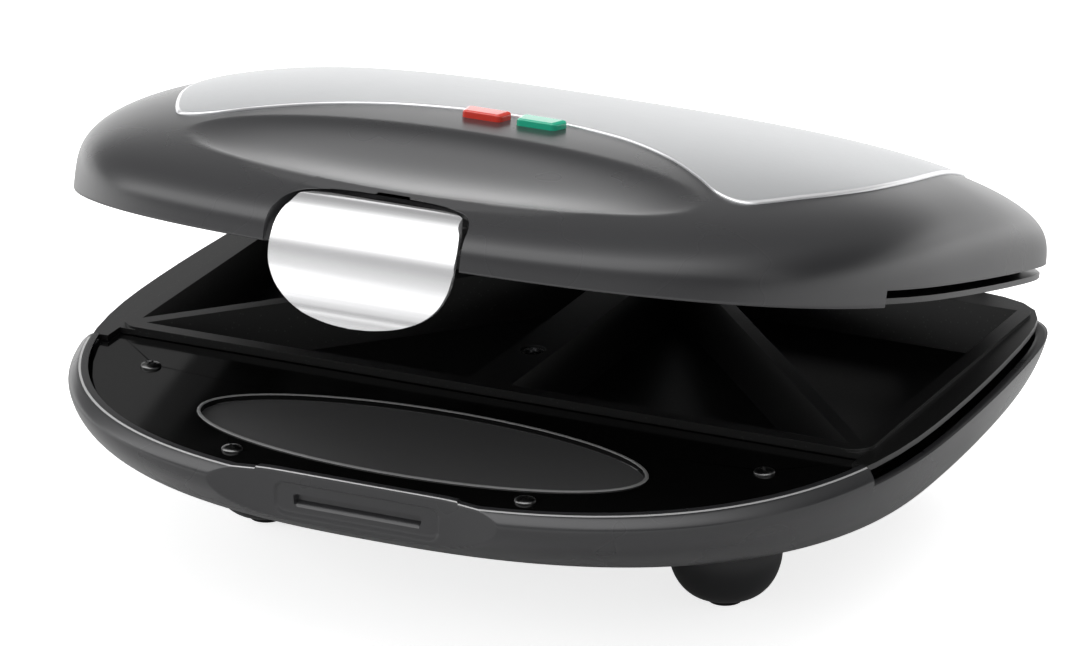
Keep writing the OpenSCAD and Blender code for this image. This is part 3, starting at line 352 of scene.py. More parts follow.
def tint(mask, output, first, second, shader):
    """Runs a shader's base colour from first to second where a mask goes from 0 to 1."""
    mix = new_node(mask.id_data, "ShaderNodeMix", data_type="RGBA", A=(*first, 1), B=(*second, 1))
    wire(mask, output, mix, "Factor")
    wire(mix, "Result", shader, "Base Color")


def finish(name, color, roughness, group, sizes, relief, rough=None, span=None, second=None, **plain):
    """A Principled finish. Sizes are the group's two inputs, and relief is the bump's
    strength and reach in mm. Rough is the range of the roughness, second the other
    colour, and plain holds more numbers for the shader's own sockets."""
    material = bpy.data.materials.new(name)
    material.use_nodes = True
    tree = material.node_tree
    shader = tree.nodes["Principled BSDF"]
    plain = {"Base_Color": (*color, 1), "Roughness": roughness, "Coat_Roughness": 0.05, "IOR": 1.5, **plain}
    for key, value in plain.items():
        shader.inputs[key.replace("_", " ")].default_value = value
    part = new_node(tree, "ShaderNodeGroup", node_tree=group)
    for socket, size in zip(part.inputs, sizes):
        socket.default_value = size
    bump = new_node(tree, "ShaderNodeBump", Strength=relief[0], Distance=relief[1] * MM)
    wire(part, "Relief", bump, "Height")
    wire(bump, "Normal", shader, "Normal")
    if rough:
        changed = ranged(part, 1, *(span or SPAN[group.name]), *rough)
        wire(changed, "Result", shader, "Roughness")
    if second:
        tint(part, 1, color, second, shader)
    return material


# %% [markdown]
# The shells are dark grey plastic with a fine satin grain. The lid's scoop is glossier
# than the rest, and its paler grey is a painted reflection, not the plastic's own tone.
# So the lid's mesh carries a mask there, called hollow. A second material for the scoop
# would end in a hard line.

# %% Shell finishes
# The scoop's paler grey is a painted reflection, not the plastic's own tone
SHELL_GREY, SCOOP_PAINTED_SHEEN = (0.032, 0.032, 0.034), (0.15, 0.15, 0.153)
shell_plastic = finish("shell_plastic", SHELL_GREY, 0.28, grain, (2600, 1), (0.12, 0.02), (0.25, 0.31))
lid_plastic = finish("lid_plastic", SHELL_GREY, 0.28, grain, (2600, 1), (0.12, 0.02), (0.25, 0.31),
                     Coat_Roughness=0.22)
tree = lid_plastic.node_tree
shader = tree.nodes["Principled BSDF"]
deep = new_node(tree, "ShaderNodeAttribute", attribute_name="hollow")
gloss_and_painted_sheen = ranged(deep, "Fac", 0.1, 0.8, 0.0, 0.7)
gloss_and_painted_sheen.interpolation_type = "SMOOTHSTEP"
wire(gloss_and_painted_sheen, "Result", shader, "Coat Weight")
# Inside the scoop the base colour turns paler: a painted reflection
tint(gloss_and_painted_sheen, "Result", SHELL_GREY, SCOOP_PAINTED_SHEEN, shader)
# The pale grey on the base rim's edge is a painted highlight, not the plastic's own colour
shell_edge_painted_highlight = finish("shell_edge_painted_highlight", (0.60, 0.60, 0.60), 0.30, grain, (2600, 1), (0.05, 0.02), (0.27, 0.33))
print("shell finishes", shell_plastic.name, lid_plastic.name, shell_edge_painted_highlight.name)

# %% [markdown]
# Between the shells lie the gloss black deck with its matte dish, and the cooking
# plates with their dark speckled coating. The deck mirrors only weakly, because a
# strong mirror there would look like wet glass.

# %% Finishes between the shells
deck_gloss = finish("deck_gloss", (0.004, 0.004, 0.004), 0.10, grain, (500, 1), (0.03, 0.02), (0.07, 0.16),
                    Specular_IOR_Level=0.3)
deck_matte = finish("deck_matte", (0.085, 0.085, 0.086), 0.60, grain, (3500, 1), (0.3, 0.03), (0.5, 0.6))
# The dish rim's pale grey is a painted highlight along its raised edge
rim_painted_highlight = finish("rim_painted_highlight", (0.34, 0.34, 0.34), 0.30, grain, (2500, 1), (0.1, 0.02), (0.25, 0.35))
non_stick = finish("non_stick", (0.012, 0.012, 0.012), 0.30, specks, (700, 0.16), (0.15, 0.02),
                   second=(0.035, 0.035, 0.035))
print("inner finishes", deck_gloss.name, deck_matte.name, rim_painted_highlight.name, non_stick.name)

# %% [markdown]
# The cover is a silver lacquer over brushed sheet, which is why it is only partly
# metallic. The latch is chromed plastic: its waviness is long and very shallow, so the
# mirrored stripes bend a little. Screws and pins are plain steel.

# %% Metal finishes
silver_satin = finish("silver_satin", (0.56, 0.57, 0.58), 0.34, brushed, (5000, 0.03), (0.05, 0.01),
                      (0.30, 0.38), Metallic=0.55)
# The cover edge's near-white colour is a painted highlight on its rounded edge
silver_edge_painted_highlight = finish("silver_edge_painted_highlight", (0.92, 0.92, 0.93), 0.20, brushed, (5000, 0.03), (0.03, 0.01),
                     (0.18, 0.24), Metallic=0.4)
latch_chrome = finish("latch_chrome", (0.88, 0.88, 0.89), 0.16, grain, (60, 0.5), (0.01, 0.02),
                      (0.14, 0.18), (-0.25, 0.25), Metallic=0.75)
bright_steel = finish("bright_steel", (0.42, 0.42, 0.43), 0.25, brushed, (9000, 0.05), (0.08, 0.01),
                      (0.2, 0.32), Metallic=1.0)
dark_steel = finish("dark_steel", (0.15, 0.15, 0.15), 0.30, brushed, (9000, 0.05), (0.08, 0.01),
                    (0.25, 0.36), Metallic=1.0)
bright_sheet = finish("bright_sheet", (0.75, 0.76, 0.77), 0.22, brushed, (4000, 0.02), (0.05, 0.01),
                      (0.18, 0.3), Metallic=1.0)
print("metal finishes", silver_satin.name, latch_chrome.name, bright_steel.name, bright_sheet.name)

# %% [markdown]
# The rest are small parts: dark feet, rubber pads, cream insulators, braided leads,
# lenses and lamps. A lens is tinted clear plastic, but at this size a solid colour
# under a glossy coat looks the same, and it renders faster.

# %% Finishes of small parts
foot_plastic = finish("foot_plastic", (0.014, 0.014, 0.015), 0.35, grain, (2500, 1), (0.15, 0.02),
                      (0.3, 0.42))
pad_rubber = finish("pad_rubber", (0.010, 0.010, 0.010), 0.75, grain, (4000, 1), (0.4, 0.04), (0.7, 0.85))
insulator = finish("insulator", (0.74, 0.70, 0.62), 0.5, grain, (1800, 1), (0.2, 0.03), (0.45, 0.6))
braid = finish("braid", (0.72, 0.72, 0.70), 0.7, specks, (2500, 0.35), (0.5, 0.1), second=(0.58, 0.58, 0.56))
sleeve_rubber = finish("sleeve_rubber", (0.012, 0.012, 0.012), 0.5, grain, (3000, 1), (0.2, 0.03),
                       (0.45, 0.58))
red_lens = finish("red_lens", (0.78, 0.045, 0.025), 0.12, grain, (400, 0.5), (0.05, 0.02), (0.10, 0.16),
                  Coat_Weight=0.6)
green_lens = finish("green_lens", (0.010, 0.50, 0.30), 0.12, grain, (400, 0.5), (0.05, 0.02), (0.10, 0.16),
                    Coat_Weight=0.6)
lamp_glass = finish("lamp_glass", (0.95, 0.88, 0.80), 0.08, grain, (300, 0.3), (0.02, 0.02), (0.05, 0.12),
                    Transmission_Weight=0.9)
print("small finishes", foot_plastic.name, pad_rubber.name, insulator.name, red_lens.name, green_lens.name)

# %% [markdown]
# ## From plan sizes to the scene
#
# The plan is measured in millimetres from the middle of the two halves, with the lid
# closed. A point of the lid is turned about the hinge axis to where the lid rests.


# %% Placing points and making meshes
def placed(points, on_lid=False):
    """Plan millimetres to metres in the scene, with lid points turned to rest."""
    p = np.array(points, float)
    if on_lid:
        y, z = p[..., 1] - HINGE_Y, p[..., 2] - HINGE_Z
        c, s = math.cos(REST_OPEN), math.sin(REST_OPEN)
        p[..., 1] = HINGE_Y + y * c + z * s
        p[..., 2] = HINGE_Z - y * s + z * c
    p[..., 1] += SHIFT_Y
    p[..., 2] += SHIFT_Z
    return p * MM


def dressed(obj, body, nodes, materials):
    """Gives a piece its finishes, and its place among the bodies and nodes."""
    for material in materials:
        obj.data.materials.append(material)
    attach(obj, body)
    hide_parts(*nodes)


def mesh_object(name, points, faces, crisp=35.0):
    """A new object with smooth faces that stay crisp along sharp bends."""
    mesh = bpy.data.meshes.new(name)
    mesh.from_pydata([tuple(p) for p in points], [], faces)
    mesh.validate()
    mesh.shade_smooth()
    if crisp:
        mesh.set_sharp_from_angle(angle=math.radians(crisp))
    return in_scene(name, mesh)


def lofted(rings):
    """Points and faces through rings of the same length, with a fan at either end."""
    rings = np.array(rings, float)
    rows, cols = rings.shape[:2]
    points = list(rings.reshape(-1, 3))
    faces = []
    for i in range(rows - 1):
        for j in range(cols):
            k = (j + 1) % cols
            faces.append((i * cols + j, i * cols + k, (i + 1) * cols + k, (i + 1) * cols + j))
    points += [rings[0].mean(0), rings[-1].mean(0)]
    middle, last = rows * cols, (rows - 1) * cols
    faces += [(middle, (j + 1) % cols, j) for j in range(cols)]
    faces += [(last + j, last + (j + 1) % cols, middle + 1) for j in range(cols)]
    return points, faces


# %% [markdown]
# ## The base shell
#
# The base is one bowl-shaped moulding. Its plan is a rounded outline: nearly an
# ellipse at the front, and square at the rear corners. The wall swells a little below
# the rim and then curves in under the toaster. A rule gives every point of it, so the
# bowl is made as rings of points, row by row up the outside, over the rim, and down
# the inside. That keeps the surface smooth everywhere and needs no cutting.


# %% The plan outline and the bowl's rule
# Half width, length in front of the middle, and how square the front corners are
BASE = (114.0, 112.8, 2.52)
LID = (115.0, 113.4, 2.72)
# The same rear for both: its length, how square it is, and how much it narrows
REAR, REAR_N, TAPER = 83.2, 12.0, 0.05


def outline(angle, half_w, front, front_n, inset=0.0):
    """X and Y of the rounded plan outline at angles in degrees."""
    a = np.radians(angle)
    w = half_w - inset
    rear = REAR - inset
    depth = np.where(np.sin(a) < 0, front - inset, rear)
    n = np.where(np.sin(a) < 0, front_n, REAR_N)
    r = ((np.abs(np.cos(a)) / w) ** n + (np.abs(np.sin(a)) / depth) ** n) ** (-1 / n)
    y = r * np.sin(a)
    narrow = np.where(y > 0, 1 - TAPER * (y / rear) ** 2, 1.0)
    return r * np.cos(a) * narrow, y


RIM_Z, BELLY_Z, KEEL_Z, LOW_RIM_Z, STEP_Y, WALL = 49.5, 46.0, 12.0, 45.5, -44.0, 2.6
LIP_Z, LIP_HALF, CATCH_Y, STRETCH_Z = 50.0, 28.0, -109.2, 42.0
# The belly swells from a place behind the middle, so the rear wall stays straight
BELLY, BELLY_Y = 2.6, 63.0
BELLY_SIDE, BELLY_END = BELLY / BASE[0], BELLY / (BASE[1] + BELLY_Y)
# How the wall curves in under the toaster: the ends start sooner and slope more
SIDE_CURVE, END_CURVE = (1.25, 7.5), (1.95, 2.45)


def bowl_scales(z):
    """How much wider and longer than the rim the bowl is at a height."""
    above = np.clip((RIM_Z - z) / (RIM_Z - BELLY_Z), 0, 1)
    below = np.clip((BELLY_Z - z) / (BELLY_Z - KEEL_Z), 0, 0.9999)
    swell = np.sin(np.pi / 2 * above)
    side, end = ((1 - below ** into) ** (1 / out) for into, out in (SIDE_CURVE, END_CURVE))
    return (1 + swell * BELLY_SIDE) * side, (1 + swell * BELLY_END) * end


# %% [markdown]
# The rings need more points where the outline turns or a wall steps. So the columns
# are closer at the corners, and each step gets two columns a hair apart.

# %% Columns round the plan
HAIR = 0.04  # degrees


def with_breaks(base_values, breaks, gap):
    """Values joined with a close pair of values on each break."""
    extra = [b + d for b in breaks for d in (-gap, gap)]
    values = [v for v in base_values if all(abs(v - e) > 0.6 * gap for e in extra)]
    return np.array(sorted(values + extra))


def angle_at(way, target, low, high, shape):
    """The angle between low and high where the outline's X (0) or Y (1) meets a target."""
    angles = np.linspace(low, high, 4001)
    return float(angles[np.argmin(np.abs(outline(angles, *shape)[way] - target))])


def plan_columns(marks, *closer):
    """Angles round the plan, closer at the corners, and where closer ones are given."""
    angles = list(np.arange(-180, 0, 1.0)) + list(np.arange(0, 24, 1.5))
    angles += list(np.arange(24, 50, 0.5)) + list(np.arange(50, 130, 2.0))
    angles += list(np.arange(130, 156, 0.5)) + list(np.arange(156, 180, 1.5))
    every = np.concatenate([with_breaks(angles, marks, HAIR), *closer])
    return np.array(sorted(set(np.round(every, 3))))


step_at = angle_at(1, STEP_Y, -60, 0, BASE)
lip_marks = [angle_at(0, x, -140, -40, BASE) for x in (-LIP_HALF, LIP_HALF)]
columns = plan_columns([step_at, -180 - step_at] + lip_marks, np.arange(-120.0, -60.0, 0.2))
print("base shell", len(columns), "columns")

# %% [markdown]
# The catch is a flat wall at the front with a sunk panel and a slot in it. Cutting it
# with a Boolean would leave long thin faces. Here the rings are only moved: the wall is
# the furthest that a ring may go, and the panel and slot draw it in where a distance
# to their outline says so.

# %% The base shell's rings
def smooth_step(value, low, high):
    """0 below low, 1 above high, and smooth between."""
    t = np.clip((value - low) / (high - low), 0, 1)
    return t * t * (3 - 2 * t)


def rounded_box_distance(u, v, half_u, v0, v1, corner):
    """Signed distance to a rounded rectangle: below 0 inside it."""
    du = np.abs(u) - half_u + corner
    dv = np.abs(v - (v0 + v1) / 2) - (v1 - v0) / 2 + corner
    outside = np.hypot(np.maximum(du, 0), np.maximum(dv, 0))
    return outside + np.minimum(np.maximum(du, dv), 0) - corner


rim_x, rim_y = outline(columns, *BASE)
is_lip = (np.abs(rim_x) < LIP_HALF) & (rim_y < 0)
is_low = rim_y > STEP_Y
top_z = np.where(is_lip, LIP_Z, np.where(is_low, LOW_RIM_Z, RIM_Z))


def bowl_ring(z_nominal, inset, top_drop=0.0):
    """One ring of the bowl. Above STRETCH_Z heights stretch to each column's own rim."""
    share = max(0.0, (z_nominal - STRETCH_Z) / (RIM_Z - STRETCH_Z))
    z = np.where(z_nominal > STRETCH_Z, STRETCH_Z + share * (top_z - top_drop - STRETCH_Z), z_nominal)
    x, y = outline(columns, *BASE, inset=inset)
    side, end = bowl_scales(np.minimum(z, RIM_Z))
    floor_rise = 0 if inset < 1 else 0.93 * WALL * (1 - smooth_step(z_nominal, 18, 30))
    return np.stack([x * side, (y - BELLY_Y) * end + BELLY_Y, z + floor_rise], -1)


# Beside the catch its wall moves forward by 5 mm, so that it fades into the bowl
FADE_BY, FADE_FROM, FADE_TO = 5.0, 22.0, 54.0


def at_catch(ring, inset):
    """Moves a ring's front back to the flat wall of the catch, and fades out beside it."""
    wall_y = CATCH_Y + inset - FADE_BY * smooth_step(np.abs(ring[:, 0]), FADE_FROM, FADE_TO)
    ring[:, 1] = np.maximum(ring[:, 1], wall_y)
    return ring


def up_from_keel(low, high, count):
    """Heights in the curved part, given as shares of the way down from the belly."""
    return list(KEEL_Z + (BELLY_Z - KEEL_Z) * (1 - np.linspace(low, high, count)))


# Half width, two heights and corner radius of the panel and the slot, and their depths
PANEL, SLOT = (22.6, 38.6, 46.8, 2.5), (17.5, 41.3, 43.8, 0.8)
PANEL_IN, SLOT_IN = 0.5, 1.8
outer_z = up_from_keel(0.93, 0.12, 44) + list(np.arange(42.2, RIM_Z - 0.55, 0.28))
rings = [at_catch(bowl_ring(z, 0.0), 0.0) for z in outer_z]
for ring in rings:
    panel = 1 - smooth_step(rounded_box_distance(ring[:, 0], ring[:, 2], *PANEL), -0.3, 0.3)
    slot = 1 - smooth_step(rounded_box_distance(ring[:, 0], ring[:, 2], *SLOT), -0.2, 0.15)
    back_by = np.maximum(CATCH_Y + PANEL_IN - ring[:, 1], 0)
    ring[:, 1] += np.where(is_lip, panel * back_by + slot * SLOT_IN, 0)
rim_row = len(rings)
for inset, drop in ((0.15, 0.28), (0.45, 0.08), (0.9, 0.0), (WALL - 0.5, 0.0), (WALL, 0.4)):
    rings.append(at_catch(bowl_ring(RIM_Z, inset, drop), inset))
for z in list(np.linspace(RIM_Z - 1.5, 34.0, 10)) + up_from_keel(0.4, 0.93, 12):
    rings.append(at_catch(bowl_ring(z, WALL), WALL))
points, faces = lofted(placed(rings))
base_shell = mesh_object("base_shell_smooth", points, faces)
dressed(base_shell, "base", ["base_shell"], [shell_plastic, shell_edge_painted_highlight])
# The rim's rounded edge catches the light, so its front faces get a pale grey: a painted highlight
for j in np.flatnonzero(rim_y < STEP_Y - 1):
    base_shell.data.polygons[int(rim_row * len(columns) + j)].material_index = 1
print("base shell", len(base_shell.data.polygons), "faces")

# %% [markdown]
# ## The lid shell
#
# The lid is a low dome whose rings are the plan outline drawn in towards one point.
# A shallow oval scoop is pressed into its front, so that a hand can find the latch.
# The dome's rule gives the height of every point, so the scoop is only a matter of
# taking its depth off the height.

# %% The dome's rule
LID_EDGE_Z, LID_LOW_Z, LID_MID_Y = 50.9, 55.3, 36.6
LID_P, LID_Q, CROWN = 2.8, 4.6, 33.6
SCOOP_W, SCOOP_D, SCOOP_Y, SCOOP = 70.0, 24.0, -71.5, 3.8
# Where the dome is highest, and its height at the front and rear edge
TOP_Y, FRONT_RISE, REAR_RISE = 22.0, 15.8, 19.9


def crown(y):
    """Height of the dome's middle line over the lid's edge."""
    front = CROWN - (CROWN - FRONT_RISE) * ((TOP_Y - y) / (TOP_Y + LID[1])) ** 2
    rear = CROWN - (CROWN - REAR_RISE) * ((y - TOP_Y) / (REAR - TOP_Y)) ** 2
    return np.where(y < TOP_Y, front, rear)


def scoop(x, y):
    """Depth of the oval scoop, whose edge is crisp in front and soft behind."""
    e = (x / SCOOP_W) ** 2 + ((y - SCOOP_Y) / SCOOP_D) ** 2
    inside = np.clip(1 - e, 0, 1)
    back = np.clip((y - SCOOP_Y) / SCOOP_D, -1, 1)
    return SCOOP * inside ** (0.95 + 0.2 * back)


def rise_of(s):
    """How much of the crown's height is reached at a share of the outline."""
    return np.clip(1 - np.clip(s, 0, 1) ** LID_P, 0, 1) ** (1 / LID_Q)


def lid_points(s, angles, inset=0.0, lift=0.0):
    """Points of the dome where s is the share of the outline, one s per angle."""
    ox, oy = outline(angles, *LID, inset=inset)
    x, y = ox * s, (oy - LID_MID_Y) * s + LID_MID_Y
    z = LID_EDGE_Z + (crown(y) + lift) * rise_of(s) - scoop(x, y)
    return np.stack([x, y, z], -1)


middle_z = LID_EDGE_Z + crown(np.linspace(-LID[1], REAR, 200))
print("dome", round(middle_z.min(), 1), "to", round(middle_z.max(), 1), "mm high along its middle")

# %% [markdown]
# The cover has to lie on the dome, and its outline is known from above. So the rule
# has to be read the other way: which share of the outline runs through a place? No
# formula gives that, but halving the range between two guesses finds it quickly.


# %% The dome over a plan place
def lid_share(x, y):
    """The share s of the outline on which each plan place lies."""
    low, high = np.full(x.shape, 1e-4), np.full(x.shape, 1.3)
    for _ in range(40):
        s = (low + high) / 2
        px, py = x / s, (y - LID_MID_Y) / s + LID_MID_Y
        rear = py > 0
        narrow = np.maximum(np.where(rear, 1 - TAPER * (py / REAR) ** 2, 1.0), 0.2)
        n = np.where(rear, REAR_N, LID[2])
        depth = np.where(rear, REAR, LID[1])
        outside = (np.abs(px) / narrow / LID[0]) ** n + (np.abs(py) / depth) ** n > 1
        low, high = np.where(outside, s, low), np.where(outside, high, s)
    return (low + high) / 2


def dome_height(x, y):
    """Height of the dome, without its scoop, over a plan place."""
    return LID_EDGE_Z + crown(y) * rise_of(np.clip(lid_share(x, y), 0, 1))


print("dome over its middle", round(float(dome_height(np.zeros(1), np.zeros(1))[0]), 1), "mm")

# %% [markdown]
# The latch hangs in a rounded notch in the lid's front edge. The notch isn't cut
# either: each column of the dome simply ends where it meets the notch's line, which
# is a smooth curve through a few measured places.

# %% The notch for the latch
def smooth_line(corners, steps):
    """A smooth open curve through corner points."""
    c = np.array(corners, float)
    c = np.vstack([2 * c[0] - c[1], c, 2 * c[-1] - c[-2]])
    out = []
    for i in range(1, len(c) - 2):
        p0, p1, p2, p3 = c[i - 1], c[i], c[i + 1], c[i + 2]
        for t in np.linspace(0, 1, steps, endpoint=False):
            out.append(0.5 * (2 * p1 + (p2 - p0) * t + (2 * p0 - 5 * p1 + 4 * p2 - p3) * t ** 2
                              + (3 * p1 - p0 - 3 * p2 + p3) * t ** 3))
    out.append(c[-2])
    return np.array(out)


NOTCH_REAR = [(0, -98.1), (9, -98.4), (15, -99.1), (19, -100.2), (22, -101.8), (24.2, -104.2),
              (25.6, -107.2), (26.2, -110), (26.5, -116)]
NEARER = 0.8  # how much closer to the latch the shell's edge comes along its top
notch_half = smooth_line(NOTCH_REAR, 8)
notch_line = np.vstack([notch_half[::-1] * [-1, 1], notch_half[1:]])


def notch_share(angles):
    """The share of the outline at which each column meets the notch, or 1 beside it."""
    ox, oy = outline(angles, *LID)
    slope = ox / (LID_MID_Y - oy)
    notch_slope = notch_line[:, 0] / (LID_MID_Y - notch_line[:, 1])
    nearer = NEARER * (1 - smooth_step(np.abs(notch_line[:, 0]), 18, 25))
    depth = LID_MID_Y - notch_line[:, 1] + nearer
    found = np.ones(len(angles))
    low, high = notch_slope.argmin(), notch_slope.argmax()
    inside = (oy < 0) & (slope > notch_slope[low]) & (slope < notch_slope[high])
    met = np.interp(slope[inside], notch_slope[low:high + 1], depth[low:high + 1])
    found[inside] = met / (LID_MID_Y - oy[inside])
    return np.minimum(found, 1.0)


print("notch", round(np.ptp(notch_line[:, 0]), 1), "mm wide")

# %% [markdown]
# Now the lid's rings: up the inside, round the edge, and over the outside. The dome is
# steep at its edge and flat on top, so the rings are spaced evenly along its curve
# and not by height.

# %% The lid shell's rings
lid_step = angle_at(1, STEP_Y, -60, 0, LID)
lid_columns = plan_columns([lid_step, -180 - lid_step], np.arange(-150, -30, 0.6),
                           np.arange(-105, -96, 0.12), np.arange(-84, -75, 0.12))
edge_y = outline(lid_columns, *LID)[1]
low_share = notch_share(lid_columns)
behind = edge_y > STEP_Y
share_rise = (LID_LOW_Z - LID_EDGE_Z) / crown(edge_y[behind])
low_share[behind] = (1 - share_rise ** LID_Q) ** (1 / LID_P)
COMMON = 0.82  # rows inside this share of the outline are the same for all columns


def row(s):
    """Shares for one row: common to all columns inside, drawn in near the edge."""
    if s < COMMON:
        return np.full(len(lid_columns), s)
    return COMMON + (s - COMMON) / (1 - COMMON) * (low_share - COMMON)


# Typical sizes of the dome, from which the rows' spacing is worked out
TYPICAL_REACH, TYPICAL_RISE, ROWS = 113, 27, 120
fine = np.linspace(0, 1, 4000)
steps = np.hypot(np.diff(TYPICAL_REACH * fine ** 3), np.diff(TYPICAL_RISE * rise_of(1 - fine ** 3)))
length = np.concatenate([[0], np.cumsum(steps)])
even = np.interp(np.linspace(0, length[-1], ROWS), length, fine)
shares = 1 - even ** 3
shares[-1] = 0.004
outer = [lid_points(row(s), lid_columns) for s in shares]
inner = [lid_points(row(s), lid_columns, WALL, -WALL) for s in shares[::-4]]
inner.append(lid_points(low_share, lid_columns, WALL, -WALL))
rounded = []
for inset, up in ((WALL - 0.4, 0.0), (0.5, 0.0), (0.12, 0.12)):
    ring = lid_points(low_share, lid_columns, inset, 0.0)
    ring[:, 2] += up
    rounded.append(ring)
EDGE_RADIUS = 0.45
outer[0][:, 2] += np.where((low_share < 0.999) & ~behind, 0.0, EDGE_RADIUS)
plan = np.array(inner + rounded + outer)
at_rest = placed(plan, on_lid=True)
at_rest[..., 2] = np.minimum(at_rest[..., 2], solid_box[1][2])
points, faces = lofted(at_rest)
lid_shell = mesh_object("lid_shell_smooth", points, faces)
# The scoop's depth, kept as a mask that makes the scoop glossier and paints a reflection into its grey
depth = np.zeros(len(points), np.float32)
depth[:plan[..., 0].size] = (scoop(plan[..., 0], plan[..., 1]) / SCOOP).ravel()
depth[:len(inner) * plan.shape[1]] = 0
lid_shell.data.attributes.new("hollow", "FLOAT", "POINT").data.foreach_set("value", depth)
dressed(lid_shell, "lid", ["lid_shell"], [lid_plastic])
print("lid shell", len(lid_shell.data.polygons), "faces")

# %% [markdown]
# ## The silver cover
#
# A thin silver panel lies on the crown. Its front edge bows back over the scoop and
# runs forward to a rounded tip on either side. The outline is a smooth curve through
# a few measured places, and the panel is rings drawn in from it, laid on the dome. Its
# rounded edge rows get a pale colour of their own: a painted highlight for the light
# the edge catches.

# %% The cover's outline and panel
COVER_EDGE = [
    (0, -25.2), (10, -25.8), (20, -28), (33, -32.4), (48, -41.3), (61, -52), (70, -60), (75.5, -62.3),
    (79.3, -61.4), (82.4, -57.2), (87, -48), (91.6, -36.5), (95.1, -22), (96.4, -5), (96, 12),
    (93.5, 38), (90, 56), (84.5, 66.5), (76, 71.5), (60, 73.5), (0, 74.5),
]
COVER_T, SUNK = 0.7, -0.5
EDGE_ROWS = (21, 22, 23)


def share_of(k, t, i, j, a, b):
    """Between a at k[i] and b at k[j], for a place t on the way."""
    return (k[j] - t) / (k[j] - k[i]) * a + (t - k[i]) / (k[j] - k[i]) * b


def smooth_loop(corners, steps):
    """A smooth closed curve through corner points."""
    c = np.array(corners, float)
    out = []
    for i in range(len(c)):
        p0, p1, p2, p3 = c[i - 1], c[i], c[(i + 1) % len(c)], c[(i + 2) % len(c)]
        k = [0.0]
        for a, b in ((p0, p1), (p1, p2), (p2, p3)):
            k.append(k[-1] + np.linalg.norm(b - a) ** 0.5)
        for t in np.linspace(k[1], k[2], steps, endpoint=False):
            a1, a2 = share_of(k, t, 0, 1, p0, p1), share_of(k, t, 1, 2, p1, p2)
            a3 = share_of(k, t, 2, 3, p2, p3)
            b1, b2 = share_of(k, t, 0, 2, a1, a2), share_of(k, t, 1, 3, a2, a3)
            out.append(share_of(k, t, 1, 2, b1, b2))
    return np.array(out)


edge = smooth_loop(COVER_EDGE + [(-x, y) for x, y in COVER_EDGE[-2:0:-1]], 8)
centre = np.array([0.0, 18.0])
inward = centre - edge
inward /= np.linalg.norm(inward, axis=1)[:, None]


def cover_ring(drawn_in, share, offset):
    """The outline drawn in by a distance and then by a share, laid over the dome."""
    xy = edge + inward * drawn_in
    xy = centre + (xy - centre) * share
    return np.column_stack([xy, dome_height(xy[:, 0], xy[:, 1]) + offset])


cover_rings = [cover_ring(0.6, share, SUNK) for share in np.linspace(0.02, 0.98, 20)]
cover_rings += [cover_ring(0.0, 1.0, SUNK), cover_ring(0.0, 1.0, 0.25), cover_ring(0.12, 1.0, 0.5)]
cover_rings += [cover_ring(0.4, 1.0, COVER_T - 0.05), cover_ring(0.9, 1.0, COVER_T)]
cover_rings += [cover_ring(0.9, share, COVER_T) for share in np.linspace(0.985, 0.01, 60)]
points, faces = lofted(placed(cover_rings, on_lid=True))
cover = mesh_object("top_cover_smooth", points, faces, crisp=50)
dressed(cover, "lid", ["lid_top_cover"], [silver_satin, silver_edge_painted_highlight])
# The edge rows get the painted highlight
for row_number in EDGE_ROWS:
    for j in range(len(edge)):
        cover.data.polygons[row_number * len(edge) + j].material_index = 1
print("cover", len(cover.data.polygons), "faces")

# %% [markdown]
# ## Parts whose solids are already right
#
# Plates, decks, brackets and arms are flat-sided castings and mouldings. Real ones
# have a small radius on every edge, which catches the light. A solid's mesh is loose
# triangles, so a copy of it is merged first and then a Bevel modifier rounds its
# edges. Weighted Normal shades large faces flat and only the narrow rounding as a bend.


# %% Rounded copies of solids
def baked(obj):
    """Turns what an object's modifiers make into its own plain mesh."""
    depsgraph = bpy.context.evaluated_depsgraph_get()
    made = bpy.data.meshes.new_from_object(obj.evaluated_get(depsgraph))
    old = obj.data
    obj.modifiers.clear()
    obj.data = made
    if old.users == 0:
        bpy.data.meshes.remove(old)


def add_bevel(obj, width, segments, least_angle):
    """A Bevel modifier on the edges that bend by more than an angle in degrees."""
    bevel = obj.modifiers.new("edges", "BEVEL")
    bevel.width, bevel.segments, bevel.limit_method = width * MM, segments, "ANGLE"
    bevel.angle_limit = math.radians(least_angle)


def add_boolean(obj, operation, other):
    """A Boolean modifier that cuts an object with another, or keeps their overlap."""
    cut = obj.modifiers.new("cut", "BOOLEAN")
    cut.operation, cut.solver, cut.object = operation, "EXACT", other


def rounded_copy(node, width, segments, crisp=False):
    """A copy of a solid whose sharp edges are rounded. Crisp keeps flat faces quite flat."""
    mesh = frame["nodes"][node].data.copy()
    mesh.name = node + "_rounded"
    mesh.materials.clear()
    bm = bmesh.new()
    bm.from_mesh(mesh)
    bmesh.ops.remove_doubles(bm, verts=bm.verts, dist=2e-6)
    bm.to_mesh(mesh)
    bm.free()
    obj = in_scene(node + "_rounded", mesh)
    add_bevel(obj, width, segments, 32)
    mesh.shade_smooth()
    if not crisp:
        even = obj.modifiers.new("even", "WEIGHTED_NORMAL")
        even.mode, even.weight, even.keep_sharp = "FACE_AREA", 100, False
    baked(obj)
    if crisp:
        obj.data.set_sharp_from_angle(angle=math.radians(4))
    print(obj.name, len(obj.data.polygons), "faces")
    return obj


for node, body in (("lower_plate", "base"), ("upper_plate", "lid")):
    dressed(rounded_copy(node, 0.9, 4), body, [node], [non_stick])

# %% [markdown]
# The deck is the glossy panel in front of the plate. Its sunk oval is matte, and its thin
# rim is pale grey, which is a painted highlight. So one piece gets three finishes,
# chosen face by face.

